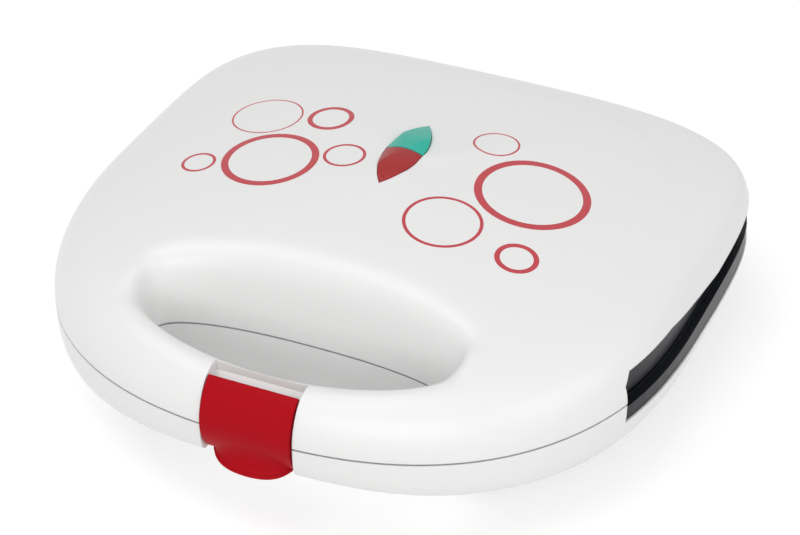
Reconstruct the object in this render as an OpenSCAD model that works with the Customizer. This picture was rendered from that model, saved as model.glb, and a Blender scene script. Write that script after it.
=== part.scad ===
// Sandwich toaster with a hinged lid, a loop handle and a snap clip.
// X runs across the hinge, +Y points to the hinge at the back and +Z is up.
// The origin is the middle of the footprint, at table level.
// Most modules are drawn about the parting plane, where lid and base meet.

/* [Slices] */
// Width of the cooking square for one sandwich
slice_w = 92; // [86:0.5:96]
// Depth of the cooking square for one sandwich
slice_d = 108; // [100:0.5:114]
// Bar between the two sandwiches
slice_gap = 6; // [5:0.5:8]

/* [Casing] */
// Distance from the middle of the plates forward to the casing's widest line
belly_ahead = 14; // [12:0.5:16]
// Power of the superellipse that draws the front half
front_power = 2.42; // [2.3:0.01:2.6]
// Power of the superellipse that draws the back half
back_power = 4.85; // [4.4:0.05:5.4]
// Wall of both shells
wall = 2.5; // [2:0.1:3]
// Half of the gap between the two shells where they meet
seam = 0.35; // [0.15:0.05:0.5]

/* [Lid] */
// Height of the lid's crown, before its shoulders round it off
lid_crown = 39.5; // [38:0.5:44]
// How far the crown falls towards each side
lid_side_drop = 20; // [16:0.5:22]
// How far the crown falls towards the back
lid_back_drop = 13; // [10:0.5:14]
// How far the crown falls towards the front
lid_front_drop = 14; // [8:0.5:18]
// Inward run of the lid's shoulder
shoulder_run = 41; // [36:1:46]
// Height of the lid's shoulder
shoulder_rise = 31.4; // [30:0.2:34]
// Share of the shoulder's height that is left at the handle
handle_share = 0.88; // [0.8:0.01:1]
// Height of the grip in the lid, at the middle of the handle
grip_rise = 17.7; // [16:0.1:20]
// How much higher the grip gets towards its ends
grip_flare = 7; // [5:0.5:9]

/* [Base] */
// Height of the parting plane over the table
parting_h = 44; // [44:1:50]
// Depth of the base below the parting plane
base_depth = 36; // [34:0.5:38]
// Height of the upright rim of the base, at the middle of the handle
rim_h = 12; // [11:0.5:13]
// How much deeper the rim gets towards the sides
rim_swell = 3.6; // [3:0.1:4.5]
// Fall of the underside for each millimetre inwards
base_slope = 0.58; // [0.54:0.01:0.66]

/* [Finger hole] */
// Half of the hole's width
hole_half_w = 58; // [52:1:62]
// Reach of the hole ahead of its widest line
hole_front = 20; // [18:0.5:22]
// Reach of the hole behind its widest line
hole_back = 14; // [12:0.5:15]
// Depth of the grip, from the casing's front to the hole
grip_depth = 22; // [20:0.5:24]
// Room between the hole and the frames, with the wall of the hole in it
hole_room = 8; // [7:0.5:10]

/* [Side windows] */
// How far the windows that run round the back start ahead of the plates
window_ahead = 4; // [2:0.5:5]
// Height of the front part of the window in the lid
window_up = 11.4; // [11:0.1:12.5]
// Height of the back part of the window in the lid
window_back_up = 6.6; // [6.4:0.1:8]
// Depth of the front part of the window in the base
window_down = 8; // [7.8:0.1:9]
// Depth of the back part of the window in the base
window_back_down = 10.5; // [9:0.1:11]
// Length of the front part, which is level
window_level = 34; // [30:1:40]
// Length of the slope from the front part to the back part
window_slope = 46; // [40:1:55]
// Chamfer at the upper front corner of each window
window_chamfer = 4; // [1:0.5:5]

/* [Frames] */
// Clearance between a frame and the shell round it
frame_clear = 1.4; // [1.4:0.1:2]
// Thickness of a frame's skirt and of its flat bezel
frame_t = 2; // [1.6:0.1:2.4]
// Height of the upper frame's skirt ahead of the windows
upper_skirt_h = 6; // [5.6:0.2:6.2]
// Depth of the lower frame's skirt ahead of the windows
lower_skirt_h = 7.6; // [7:0.2:8]
// Width of the frames' rim beside the plates
frame_side = 12.1; // [11.8:0.1:13]
// Width of the frames' rim ahead of the plates
frame_ahead = 10; // [9:0.5:12]
// Width of the frames' rim behind the plates
frame_behind = 18.5; // [17:0.5:20]
// Gap between the hinge axis and the frames' back edge
frame_to_hinge = 6.5; // [6:0.1:8]
// How far the lower frame's ledge in the windows stays inside the casing's face
ledge_in = 0.8; // [0.6:0.1:1.2]
// Gap between the frames and the edges of the windows
window_gap = 0.3; // [0.2:0.05:0.5]

/* [Plates] */
// Width of a plate's rim beside the sandwiches
plate_side_rim = 9; // [8:0.5:10]
// Width of a plate's rim ahead of and behind the sandwiches
plate_end_rim = 12; // [11:0.5:13]
// Thickness of a plate's flange
flange_t = 2; // [1.6:0.1:2.4]
// Half of the gap between the two plates
plate_gap = 0.3; // [0.2:0.05:0.5]
// Width of the ridge that halves a sandwich
ridge_w = 5; // [4:0.5:7]
// Depth of a pocket
pocket_depth = 9; // [8:0.5:10]
// How far a pocket's walls lean in from rim to floor
pocket_lean = 8; // [6:0.5:10]
// Corner radius of a pocket at its rim
pocket_r = 10; // [9:0.5:12]
// Cast wall behind a pocket
pocket_wall = 2.5; // [2:0.1:2.8]

/* [Heaters] */
// Diameter of a heating tube
heater_d = 5.5; // [5:0.1:5.6]
// How far the heating loop reaches outside the middle of each sandwich
heater_out = 13; // [10:1:16]
// How far the heating loop stays inside a sandwich's front and back edges
heater_in = 24; // [20:1:28]
// Bend radius of the heating tube
heater_bend = 18; // [14:1:22]
// Gap between the two ends of the heating tube
heater_gap = 22; // [18:1:24]
// Thickness of a reflector sheet
sheet_t = 0.8; // [0.6:0.1:1]

/* [Hinge] */
// How far the hinge axis lies inside the casing's back
hinge_in = 5; // [5:0.1:5.6]
// Distance from the middle to each hinge
hinge_x = 66; // [56:1:70]
// Outer radius of the hinge knuckles
knuckle_r = 5; // [4.6:0.1:5]
// Width of the lid's knuckle
knuckle_w = 15; // [12:0.5:18]
// Width of each of the base's two knuckles
side_knuckle_w = 8; // [6:0.5:9]
// Side clearance between knuckles
knuckle_gap = 0.4; // [0.3:0.05:0.6]
// Diameter of the hinge pins
pin_d = 4; // [3:0.1:4.4]

/* [Clip] */
// Width of the clip
clip_w = 34; // [30:0.5:38]
// Outer radius of the clip's curved face
clip_r = 18.5; // [18:0.1:19]
// Thickness of the clip's face
clip_t = 2.4; // [2:0.1:2.8]
// Distance from the casing's front to the middle of the clip's curve
clip_back = 17.8; // [17.4:0.1:18]
// Angle of the clip's upper edge
clip_top_angle = 57; // [50:1:60]
// Angle of the clip's lower edge
clip_low_angle = 52; // [48:1:53]
// Half of the width of the thumb tab
tab_half_w = 15; // [12:0.5:16]
// How far the middle of the tab's lip lies ahead of the casing's front
tab_ahead = 0.6; // [0:0.1:0.6]
// How far the middle of the tab's lip lies below the middle of the clip's curve
tab_drop = 16.6; // [15:0.1:17]
// Depth of the scoop over the tab's lip
tab_scoop = 0.8; // [0.3:0.1:1.2]
// Diameter of the pin that the clip turns on
clip_pin_d = 3; // [2.4:0.1:3.2]
// Side clearance of the clip in its notch
clip_gap = 0.6; // [0.4:0.1:1]
// Depth of the notch behind the casing's front, in the lid
lid_notch = 14.5; // [14:0.5:15]
// Depth of the notch behind the casing's front, in the base
base_notch = 8.8; // [8.8:0.1:10]
// Wall round the notch
notch_wall = 2; // [1.6:0.1:2.2]

/* [Lamps] */
// Length of the leaf that both lenses make
lens_len = 46; // [40:1:50]
// Width of the leaf
lens_w = 14.5; // [12:0.5:16]
// How far the middle of the leaf lies ahead of the middle of the plates
lens_ahead = 6; // [2:1:10]
// Height of the lenses over the lid's crown
lens_proud = 2.2; // [1.5:0.1:3]
// Diameter of a neon lamp
lamp_d = 6; // [5:0.1:6.4]
// Length of a neon lamp
lamp_len = 15; // [12:0.5:16]

/* [Feet] */
// Diameter of a rubber foot
foot_d = 17; // [14:0.5:18]
// How far the feet stand inside the sides of the plates
foot_from_side = 42; // [38:1:48]
// How far the front feet stand behind the front of the plates
foot_from_front = 8; // [6:1:14]
// How far the back feet stand ahead of the back of the plates
foot_from_back = 10; // [8:1:18]

/* [Cord inlet] */
// Bore of the rubber gland
cord_d = 7; // [6:0.1:8]
// Height of the gland's axis below the parting plane
gland_drop = 22; // [21:0.5:23]
// How far the outer end of the gland's collar lies inside the casing's back
gland_in = 12; // [10:0.5:14]

/* [Screws] */
// Diameter of the shell screws
screw_d = 2.8; // [2.6:0.1:3.2]
// How far the shell screws stand outside the sides of the plates
screw_out = 3.5; // [3:0.1:4]
// How far the front shell screws stand behind the front of the plates
screw_from_front = 18; // [16:1:24]
// How far the back shell screws stand ahead of the back of the plates
screw_from_back = 12; // [11:1:16]

/* [Hidden] */
$fn = 64;

// Colours as the object shows them
white_plastic = [0.93, 0.93, 0.92];
red_plastic = [0.70, 0.10, 0.15];
black_plastic = [0.07, 0.07, 0.08];
plate_grey = [0.16, 0.16, 0.17];
steel = [0.72, 0.72, 0.74];

// Sampling of the two shells
spokes = 96;
outer_rings = 8;
inner_rings = 5;
// Sharpness of the joins between crown, shoulder and brow
blend_power = 8;
// Powers of the superellipses that draw the finger hole
hole_front_power = 2.1;
hole_back_power = 2.3;
// Inward run, height and power of the lid's brow behind the finger hole
brow_run = 26;
brow_rise = 46;
brow_power = 1.9;
brow_slope = 0.25;
// The same of the grip ahead of the hole, and the stretch over which one turns into the other
grip_run = 11.5;
grip_power = 2;
turn_ahead = 11;
turn_behind = 6;
shoulder_power = 2.06;
shoulder_slope = 0.1;
least_crown = 6;
// The base's rim, and the upright wall round its finger hole
rim_run = 4;
rim_power = 2.6;
swell_run = 80;
throat_run = 10;
throat_rise = 40;
throat_slope = 0.3;
// Fall of the underside below the grip, and where it deepens
grip_slope = 0.08;
deepen_from = 12;
deepen_run = 50;
eps = 0.01;
far = 300;

// Plates and casing, worked out from the sandwiches
plate_w = 2*(slice_w + plate_side_rim) + slice_gap;
plate_d = slice_d + 2*plate_end_rim;
case_w = plate_w + 2*(frame_side + frame_clear + wall);
front_room = frame_ahead + hole_room + hole_back + hole_front + grip_depth;
back_room = frame_behind + frame_to_hinge + hinge_in;
front_reach = plate_d/2 - belly_ahead + front_room;
back_reach = plate_d/2 + belly_ahead + back_room;
mid_y = (front_reach - back_reach)/2;
front_y = mid_y - front_reach;
back_y = mid_y + back_reach;
plate_y = mid_y + belly_ahead;
plate_front = plate_y - plate_d/2;
plate_back = plate_y + plate_d/2;
hole_y = front_y + grip_depth + hole_front;
hinge_y = back_y - hinge_in;
frame_front_y = plate_front - frame_ahead;
frame_back_y = hinge_y - frame_to_hinge;
window_y = plate_front - window_ahead;
window_turn_y = window_y + window_level;
window_back_y = window_turn_y + window_slope;
heater_w = slice_w + slice_gap + 2*heater_out;
heater_len = slice_d - 2*heater_in;
lens_y = plate_y - lens_ahead;
gland_y = back_y - gland_in;
bezel_z = plate_gap + flange_t;
bezel_back_z = bezel_z + frame_t;
frame_seam = 0.6;
frame_corner = 10;
plate_corner = 12;
// How deep the ledge overlaps the lower frame's skirt, and how far below the parting plane it starts
ledge_bite = 0.4;
ledge_top = 2;
// Foot and top of the arms that carry the hinge knuckles
arm_foot = 1;
arm_top = 5.8;

// Plate, heater and reflector levels, from the parting plane
pocket_back_z = plate_gap + pocket_depth + pocket_wall;
heater_z = pocket_back_z + heater_d/2;
heater_room = 0.2;
reflector_z = heater_z + heater_d/2 + heater_room;
opening_w = 2*slice_w + slice_gap + 2*pocket_wall + 2;
opening_d = slice_d + 2*pocket_wall + 2;
reflector_lip = 2.5;
reflector_lean = 15;
post_r = 3.5;
post_gap = 1.75;
post_bore_end = 0.5;
post_y = heater_len/2 + heater_d/2 + post_gap + post_r;
post_spots = [[0, -post_y], [0, post_y],
              [-(slice_w + slice_gap)/2, 0], [(slice_w + slice_gap)/2, 0]];
plate_screw_d = 2.6;
head_h = 2;
head_r = 2.8;
bore_room = 0.2;
screw_slot_w = 0.8;
thread_len = 2.5;

// Shell screws
boss_r = 3.2;
boss_seam = 0.2;
skin_room = 0.6;
low_boss_z = bezel_back_z + 3.7;
head_floor = 2.3;
screw_bite = 9;
base_bite = 4;
screw_x = plate_w/2 + screw_out;
screw_spots = [
    for (x = [-screw_x, screw_x])
        for (y = [plate_front + screw_from_front, plate_back - screw_from_back]) [x, y]
];
// Cups in the underside for the heads of the base screws
cup_r = head_r + 0.6;
cup_wall = 1.6;

// Clip and its notch, seen from the side
clip_y = front_y + clip_back;
clip_z = 1;
clip_pin_y = clip_y - 7.5;
clip_pin_z = 8;
clip_hub_r = clip_pin_d/2 + 1.6;
pin_room = 0.05;
notch_half_w = clip_w/2 + clip_gap;
hook_r = clip_t/2;
// Thumb tab: the angle at which it leaves the curve, its lip and its foot
tab_angle = 20;
lip_r = 0.8;
tab_foot_y = clip_y - (clip_r - hook_r)*cos(clip_low_angle);

// Crown of the lid over the lamps
roof_z = seam + lid_rise([0, lens_y], 0);
lens_top_z = roof_z + lens_proud;
lens_room = 0.2;
lens_split = 0.2;
holder_boss_r = 3;
lens_flange = 1.5;
lens_flange_t = 1.2;
lens_flange_z = roof_z - wall - 2.8;
lens_top_r = 1.1*lens_w;
lens_long_r = 80;
holder_z = roof_z - wall - lamp_d - 3.5;
holder_t = 0.4*lamp_d;
holder_w = lens_w + 2.5;
holder_reach = lens_len/2 + 6;
holder_screw_y = [lens_y - holder_reach, lens_y + holder_reach];
// Ribs of the holder on both sides of the lamps, and the gap between the two lamps
holder_rib_t = 1.6;
holder_rib_gap = 0.3;
holder_rib_end = 3;
holder_bite = 5;
lamp_room = 0.1;
lamp_gap = 4;
lamp_z = holder_z + lamp_d/2 + lamp_room;

// Feet
foot_h = 5;
foot_recess = 1.5;
foot_boss_r = foot_d/2 + 2;
foot_x = plate_w/2 - foot_from_side;
foot_spots = [
    for (x = [-foot_x, foot_x])
        for (y = [plate_front + foot_from_front, plate_back - foot_from_back]) [x, y]
];

// Gland, clamp and terminal block
collar_r = 9;
collar_len = 20;
gland_r = 6.5;
gland_flange_r = 8.6;
gland_lip_r = 7.6;
gland_flange_t = 2.5;
clamp_ahead = 28;
clamp_y = gland_y - clamp_ahead;
clamp_t = cord_d;
clamp_w = 20;
clamp_screw_x = 7;
clamp_over = 6;
clamp_under = 5;
clamp_top_z = -gland_drop + clamp_over;
clamp_foot_z = -gland_drop - clamp_under;
block_size = [28, 12, 5.5];
block_y = plate_y + heater_len/2;
block_foot_z = -31;
block_hole_r = 2;
lead_r = 1.1;
lead_x = 1.3;
lead_gap = 0.5;
terminal_r = 1.2;
terminal_len = 5;
terminal_room = 1.2;
terminal_z = reflector_z + sheet_t + terminal_len;

// Thermostat and fuse, on the posts in the middle of the plates
sensor_boss_r = 9;
thermostat_r = 8;
thermostat_h = 4.2;
thermostat_cap_h = 5;
tag_x = 4;
tag_w = 6;
tag_t = 0.8;
tag_len = 7;
tag_bite = 1;
fuse_r = 1.9;
fuse_len = 14;
fuse_clip_w = 5;
fuse_clip_len = 12;
fuse_clip_t = 1;

// ---- Outline and heights of the shells ----

function power_sum(u, v, n) = pow(abs(u), n) + pow(abs(v), n);

// Distance from the centre to a superellipse, in the direction of an angle
function reach_at(angle, a, b, n) = pow(power_sum(cos(angle)/a, sin(angle)/b, n), -1/n);

// Point of the casing's outline, drawn in by an inset
function case_point(angle, inset) =
    let (
        ahead = sin(angle) < 0,
        b = (ahead ? front_reach : back_reach) - inset,
        n = ahead ? front_power : back_power,
        r = reach_at(angle, case_w/2 - inset, b, n)
    )
    [r*cos(angle), mid_y + r*sin(angle)];

// Point of the finger hole's outline that faces a point of the casing's outline
function hole_point(angle, grow) =
    let (
        ahead = sin(angle) < 0,
        half = hole_half_w + grow,
        side = cos(angle) < 0 ? -1 : 1,
        n = ahead ? hole_front_power : hole_back_power,
        b = (ahead ? hole_front : hole_back) + grow,
        across = min(1, abs(case_point(angle, grow)[0])/(case_w/2 - grow)),
        share = ahead ? 1 - pow(1 - across, case_w/2/hole_half_w) : pow(abs(cos(angle)), 2/n),
        along = b*pow(max(0, 1 - pow(share, n)), 1/n)
    )
    [side*half*share, hole_y + (ahead ? -along : along)];

// Signed distance from a superellipse, positive inside, to first order
function depth_inside(x, y, a, b, n) =
    let (
        sum = max(1e-9, power_sum(x/a, y/b, n)),
        slope_x = pow(abs(x/a), n - 1)/a,
        slope_y = pow(abs(y/b), n - 1)/b
    )
    (1 - pow(sum, 1/n))/(norm([slope_x, slope_y])*pow(sum, 1/n - 1));

function case_inset(p, drawn_in) =
    let (ahead = p[1] < mid_y)
    max(0, depth_inside(p[0], p[1] - mid_y, case_w/2 - drawn_in,
                        (ahead ? front_reach : back_reach) - drawn_in,
                        ahead ? front_power : back_power));

function past_hole(p, grow) =
    let (ahead = p[1] < hole_y)
    max(0, -depth_inside(p[0], p[1] - hole_y, hole_half_w + grow,
                         (ahead ? hole_front : hole_back) + grow,
                         ahead ? hole_front_power : hole_back_power));

// Height of a rounded edge at a distance from its foot
function edge_rise(s, run, height, n, slope) =
    height*pow(1 - pow(max(0, 1 - s/run), n), 1/n) + slope*s;

// Smooth minimum
function least(heights) =
    let (tiny = 0.001)
    pow([for (h = heights) pow(max(h, tiny), -blend_power)]*[for (h = heights) 1], -1/blend_power);

function ease(x) =
    let (t = min(1, max(0, x)))
    t*t*(3 - 2*t);

function mix(a, b, share) = a + (b - a)*share;

// Height of the edge round the finger hole: a round grip ahead of it turns into a high brow behind it
function brow_height(p, d) =
    let (
        share = ease((p[1] - hole_y + turn_ahead)/(turn_ahead + turn_behind)),
        grip = grip_rise + grip_flare*pow(p[0]/hole_half_w, 2)
    )
    edge_rise(d, mix(grip_run, brow_run, share), mix(grip, brow_rise, share),
              mix(grip_power, brow_power, share), brow_slope*share);

// Height of the lid over the parting plane; the inner face is drawn in by the wall
function lid_rise(p, drawn_in) =
    let (
        s = case_inset(p, drawn_in),
        d = past_hole(p, drawn_in),
        back = p[1] > mid_y,
        sideways = p[0]/(case_w/2),
        along = (p[1] - mid_y)/back_reach,
        crown = lid_crown - drawn_in - lid_side_drop*pow(sideways, 2)
            - (back ? lid_back_drop : lid_front_drop)*pow(along, 2),
        share = mix(handle_share, 1, ease((p[1] - front_y)/front_reach))
    )
    least([
        max(least_crown, crown),
        edge_rise(s, shoulder_run, shoulder_rise*share, shoulder_power, shoulder_slope),
        brow_height(p, d)
    ]);

// Depth of the base under the parting plane
function base_drop(p, drawn_in) =
    let (
        s = case_inset(p, drawn_in),
        d = past_hole(p, drawn_in),
        rim = rim_h + rim_swell*ease(abs(p[0])/swell_run),
        slope = mix(grip_slope, base_slope, ease((p[1] - front_y - deepen_from)/deepen_run))
    )
    least([
        base_depth - drawn_in,
        edge_rise(s, rim_run, rim, rim_power, slope),
        edge_rise(d, throat_run, throat_rise, 2, throat_slope)
    ]);

// Lowest height of the lid, and least depth of the base, round a spot
function round_spot(spot, r) = [
    for (angle = [0:30:330])
        spot + r*[cos(angle), sin(angle)]
];
function low_rise(spot, r) = min([for (p = round_spot(spot, r)) lid_rise(p, 0)]);
function low_drop(spot, r) = min([for (p = round_spot(spot, r)) base_drop(p, 0)]);

// ---- Shell meshes: spokes from the outline to the finger hole ----

// Share of a spoke at a ring: rings crowd at both ends, where the edges are round
function ring_share(i, rings) =
    i <= rings ? pow(i/rings, 2)/2 : 1 - pow((2*rings - i)/rings, 2)/2;

function shell_sheet(drawn_in, rings, up) = [
    for (i = [0:2*rings])
        for (j = [0:spokes - 1])
            let (
                angle = 360*(j + 0.5)/spokes,
                a = case_point(angle, drawn_in),
                b = hole_point(angle, drawn_in),
                p = a + (b - a)*ring_share(i, rings),
                on_edge = i == 0 || i == 2*rings,
                h = on_edge ? 0 : (up ? lid_rise(p, drawn_in) : base_drop(p, drawn_in))
            )
            [p[0], p[1], (up ? 1 : -1)*(seam + h)]
];

// Triangles of a band of rows, facing out when turned is false
function band(first, rows, turned) = [
    for (i = [0:rows - 1])
        for (j = [0:spokes - 1])
            let (
                a = first + i*spokes + j,
                b = first + i*spokes + (j + 1)%spokes,
                c = a + spokes,
                d = b + spokes
            )
            each (turned ? [[a, d, b], [a, c, d]] : [[a, b, d], [a, d, c]])
];

// Flat ring of triangles that joins two rows of points
function rim_band(row_a, row_b, turned) = [
    for (j = [0:spokes - 1])
        let (
            k = (j + 1)%spokes,
            a = row_a + j,
            b = row_a + k,
            c = row_b + j,
            d = row_b + k
        )
        each (turned ? [[a, b, d], [a, d, c]] : [[a, d, b], [a, c, d]])
];

module shell_skin(up) {
    outer = shell_sheet(0, outer_rings, up);
    inner = shell_sheet(wall, inner_rings, up);
    start = len(outer);
    outer_end = start - spokes;
    inner_end = start + len(inner) - spokes;
    polyhedron(
        points = concat(outer, inner),
        faces = concat(
            band(0, 2*outer_rings, up),
            band(start, 2*inner_rings, !up),
            rim_band(0, start, up),
            rim_band(outer_end, inner_end, !up)
        ),
        convexity = 10
    );
}

// Solid that fills the middle of a shell's skin and what it encloses, cut off at the parting gap
module shell_core(up) {
    points = shell_sheet(wall/2, inner_rings, up);
    polyhedron(
        points = points,
        faces = concat(band(0, 2*inner_rings, up), rim_band(0, len(points) - spokes, up)),
        convexity = 10
    );
}

// ---- Helpers ----

module on_parting() translate([0, 0, parting_h]) children();

// Turns the upper half's drawing into the lower half's
module lower_side() mirror([0, 0, 1]) children();

// A side profile, with y along its first axis and z along its second, made width wide
module across(width) rotate([90, 0, 90]) translate([0, 0, -width/2]) linear_extrude(width) children();

module along_x(r, from_x, to_x)
    translate([from_x, 0, 0]) rotate([0, 90, 0]) cylinder(r = r, h = to_x - from_x);

function rounded_rect(w, d, r) = [
    for (corner = [0:3])
        for (step = [0:8])
            let (
                angle = 90*corner + 90*step/8,
                sx = corner == 0 || corner == 3 ? 1 : -1,
                sy = corner < 2 ? 1 : -1
            )
            [sx*(w/2 - r) + r*cos(angle), sy*(d/2 - r) + r*sin(angle)]
];

module slab(w, d, r, z0, z1) translate([0, 0, z0]) linear_extrude(z1 - z0) polygon(rounded_rect(w, d, r));

module at_each(spots) for (spot = spots) translate([spot[0], spot[1], 0]) children();

// A screw whose head stands on z = 0 and whose shank runs down
module screw(shank_r, shank_len) {
    translate([0, 0, -shank_len]) cylinder(r = shank_r, h = shank_len, $fn = 32);
    difference() {
        cylinder(r = head_r, h = head_h, $fn = 32);
        for (turn = [0, 90])
            rotate(turn) translate([0, 0, head_h - screw_slot_w])
                linear_extrude(head_h) square([1.4*head_r, screw_slot_w], center = true);
    }
}

// A round lead along a list of points
module lead(points) {
    for (i = [0:len(points) - 2])
        let (
            run = points[i + 1] - points[i],
            flat = norm([run[0], run[1]])
        )
        translate(points[i]) rotate([0, atan2(flat, run[2]), atan2(run[1], run[0])])
            cylinder(r = lead_r, h = norm(run), $fn = 24);
    for (i = [1:1:len(points) - 2]) translate(points[i]) sphere(r = 1.05*lead_r, $fn = 24);
}

// ---- Shells ----

// Side profile of a window, drawn in by a gap: level ahead, then a slope, then level to the back.
// Heights count away from the parting plane, so that it serves for the lid and for the base.
module window_profile(front_h, back_h, chamfer, gap, foot, back_end) {
    start = window_y + gap;
    top = front_h - gap;
    back_top = back_h - gap;
    polygon(concat(
        chamfer > 0 ? [[start, top - chamfer], [start + chamfer, top]] : [[start, top]],
        [
            [window_turn_y, top],
            [window_back_y, back_top],
            [back_end, back_top],
            [back_end, foot],
            [start, foot]
        ]
    ));
}

// Lining of the clip's notch, within the middle of the skin
module notch_lining(up, depth)
    intersection() {
        shell_core(up);
        translate([-notch_half_w - notch_wall, -far, -far])
            cube([2*(notch_half_w + notch_wall), far + front_y + depth + notch_wall, 2*far]);
    }

module leaf(grow) {
    half_w = lens_w/2 + grow;
    half_len = lens_len/2 + grow;
    r = (half_len*half_len + half_w*half_w)/(2*half_w);
    intersection_for (side = [-1, 1]) translate([side*(r - half_w), lens_y]) circle(r = r, $fn = 200);
}

// Side profile of a disc about the middle of the clip's curve
module clip_disc(r) translate([clip_y, clip_z]) circle(r = r, $fn = 128);

module lid_shell() {
    pin_reach = notch_half_w + notch_wall + 1;
    color(white_plastic) on_parting() difference() {
        union() {
            difference() {
                shell_skin(true);
                across(2*far) window_profile(window_up, window_back_up, window_chamfer, 0, -eps, far);
                translate([0, 0, roof_z - 2*wall]) linear_extrude(3*wall) leaf(lens_room);
            }
            for (spot = screw_spots) translate([spot[0], spot[1], bezel_back_z])
                cylinder(r = boss_r, h = seam + low_rise(spot, boss_r) - skin_room - bezel_back_z);
            for (y = holder_screw_y) translate([0, y, holder_z])
                cylinder(r = holder_boss_r, h = seam + lid_rise([0, y], 0) - wall/2 - holder_z);
            notch_lining(true, lid_notch);
        }
        translate([-notch_half_w, -far, -far]) cube([2*notch_half_w, far + front_y + lid_notch, 2*far]);
        translate([0, clip_pin_y, clip_pin_z]) along_x(clip_pin_d/2 + pin_room, -pin_reach, pin_reach);
        at_each(screw_spots)
            translate([0, 0, bezel_back_z - eps]) cylinder(r = screw_d/2 + pin_room, h = screw_bite + 1);
        for (y = holder_screw_y)
            translate([0, y, holder_z - eps]) cylinder(r = plate_screw_d/2 + pin_room, h = holder_bite + 1);
    }
}

module base_shell() {
    cup_out_r = cup_r + cup_wall;
    foot_boss_foot = foot_recess + 2;
    block_floor = seam + base_drop([0, block_y + block_size[1]/2], 0) - skin_room;
    clamp_floor = seam + base_drop([0, clamp_y + clamp_t/2], 0) - skin_room;
    color(white_plastic) on_parting() difference() {
        union() {
            difference() {
                shell_skin(false);
                lower_side() across(2*far) window_profile(window_down, window_back_down, 0, 0, -eps, far);
            }
            for (spot = screw_spots) {
                bottom = seam + low_drop(spot, cup_out_r) - skin_room;
                translate([spot[0], spot[1], -bottom])
                    cylinder(r = cup_out_r, h = bottom - low_boss_z - boss_seam);
            }
            for (spot = foot_spots) {
                top = -low_drop(spot, foot_boss_r) + wall/2;
                translate([spot[0], spot[1], foot_boss_foot - parting_h])
                    cylinder(r = foot_boss_r, h = top + parting_h - foot_boss_foot);
            }
            translate([0, gland_y, -gland_drop]) rotate([90, 0, 0]) cylinder(r = collar_r, h = collar_len);
            notch_lining(false, base_notch);
            translate([-clamp_w/2, clamp_y - clamp_t/2, -clamp_floor])
                cube([clamp_w, clamp_t, clamp_floor + clamp_foot_z]);
            translate([-block_size[0]/2, block_y - block_size[1]/2, -block_floor])
                cube([block_size[0], block_size[1], block_floor + block_foot_z]);
        }
        translate([-notch_half_w, -far, -far]) cube([2*notch_half_w, far + front_y + base_notch, 2*far]);
        at_each(screw_spots) {
            translate([0, 0, -2*base_depth]) cylinder(r = cup_r, h = 2*base_depth - low_boss_z - head_floor);
            translate([0, 0, -low_boss_z - 3]) cylinder(r = screw_d/2 + bore_room, h = 4);
        }
        at_each(foot_spots) {
            translate([0, 0, -parting_h]) cylinder(r = foot_d/2 + bore_room, h = foot_h);
            translate([0, 0, -parting_h + foot_h + wall]) cylinder(r = foot_boss_r - wall, h = parting_h/2);
        }
        translate([0, gland_y + 1, -gland_drop]) rotate([90, 0, 0]) cylinder(r = gland_r, h = collar_len + 2);
        translate([0, gland_y, -gland_drop]) rotate([-90, 0, 0])
            cylinder(r = gland_flange_r + bore_room, h = collar_len);
        translate([0, gland_y - collar_len, -gland_drop]) rotate([90, 0, 0])
            cylinder(r = gland_lip_r + bore_room, h = gland_flange_t + 1);
        for (side = [-1, 1]) translate([side*clamp_screw_x, clamp_y, clamp_foot_z - 3])
            cylinder(r = plate_screw_d/2, h = 4);
    }
}

// ---- Frames that carry the plates ----

module frame_outline(inset) intersection() {
    polygon([for (j = [0:spokes - 1]) case_point(360*(j + 0.5)/spokes, wall + frame_clear + inset)]);
    translate([0, (frame_front_y + frame_back_y)/2])
        polygon(rounded_rect(case_w, frame_back_y - frame_front_y - 2*inset, frame_corner - inset));
}

module frame_ring(skirt_h) difference() {
    union() {
        difference() {
            translate([0, 0, frame_seam]) linear_extrude(skirt_h - frame_seam) frame_outline(0);
            translate([0, 0, -eps]) linear_extrude(skirt_h + 1) frame_outline(frame_t);
        }
        translate([0, 0, bezel_z]) linear_extrude(frame_t) frame_outline(0);
    }
    translate([0, plate_y, 0]) slab(opening_w, opening_d, plate_corner - 3, 0, skirt_h);
}

// What a frame puts into the side windows: a ring between two outlines, with a window's side profile
module window_ring(outer_inset, inner_inset)
    intersection() {
        across(2*far) children();
        difference() {
            linear_extrude(far)
                polygon([for (j = [0:spokes - 1]) case_point(360*(j + 0.5)/spokes, outer_inset)]);
            translate([0, 0, -eps]) linear_extrude(far + 1) frame_outline(inner_inset);
        }
    }

// Knuckle about the hinge axis, with the arm that joins it to a frame's back wall
module knuckle(from_x, to_x) {
    translate([0, hinge_y, 0]) along_x(knuckle_r, from_x, to_x);
    translate([from_x, frame_back_y - frame_t, arm_foot])
        cube([to_x - from_x, hinge_y - frame_back_y + frame_t, arm_top - arm_foot]);
}

module upper_frame() {
    half = knuckle_w/2;
    color(black_plastic) on_parting() difference() {
        union() {
            frame_ring(upper_skirt_h);
            window_ring(wall + frame_clear, frame_t)
                window_profile(window_up, window_back_up, window_chamfer, window_gap, bezel_z, frame_back_y);
            for (x = [-hinge_x, hinge_x]) knuckle(x - half, x + half);
        }
        for (x = [-hinge_x, hinge_x])
            translate([0, hinge_y, 0]) along_x(pin_d/2 + pin_room, x - half - 1, x + half + 1);
        at_each(screw_spots) {
            cylinder(r = screw_d/2 + bore_room, h = upper_skirt_h);
            translate([0, 0, -eps]) cylinder(r = head_r + bore_room, h = bezel_z + eps);
        }
    }
}

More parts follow.
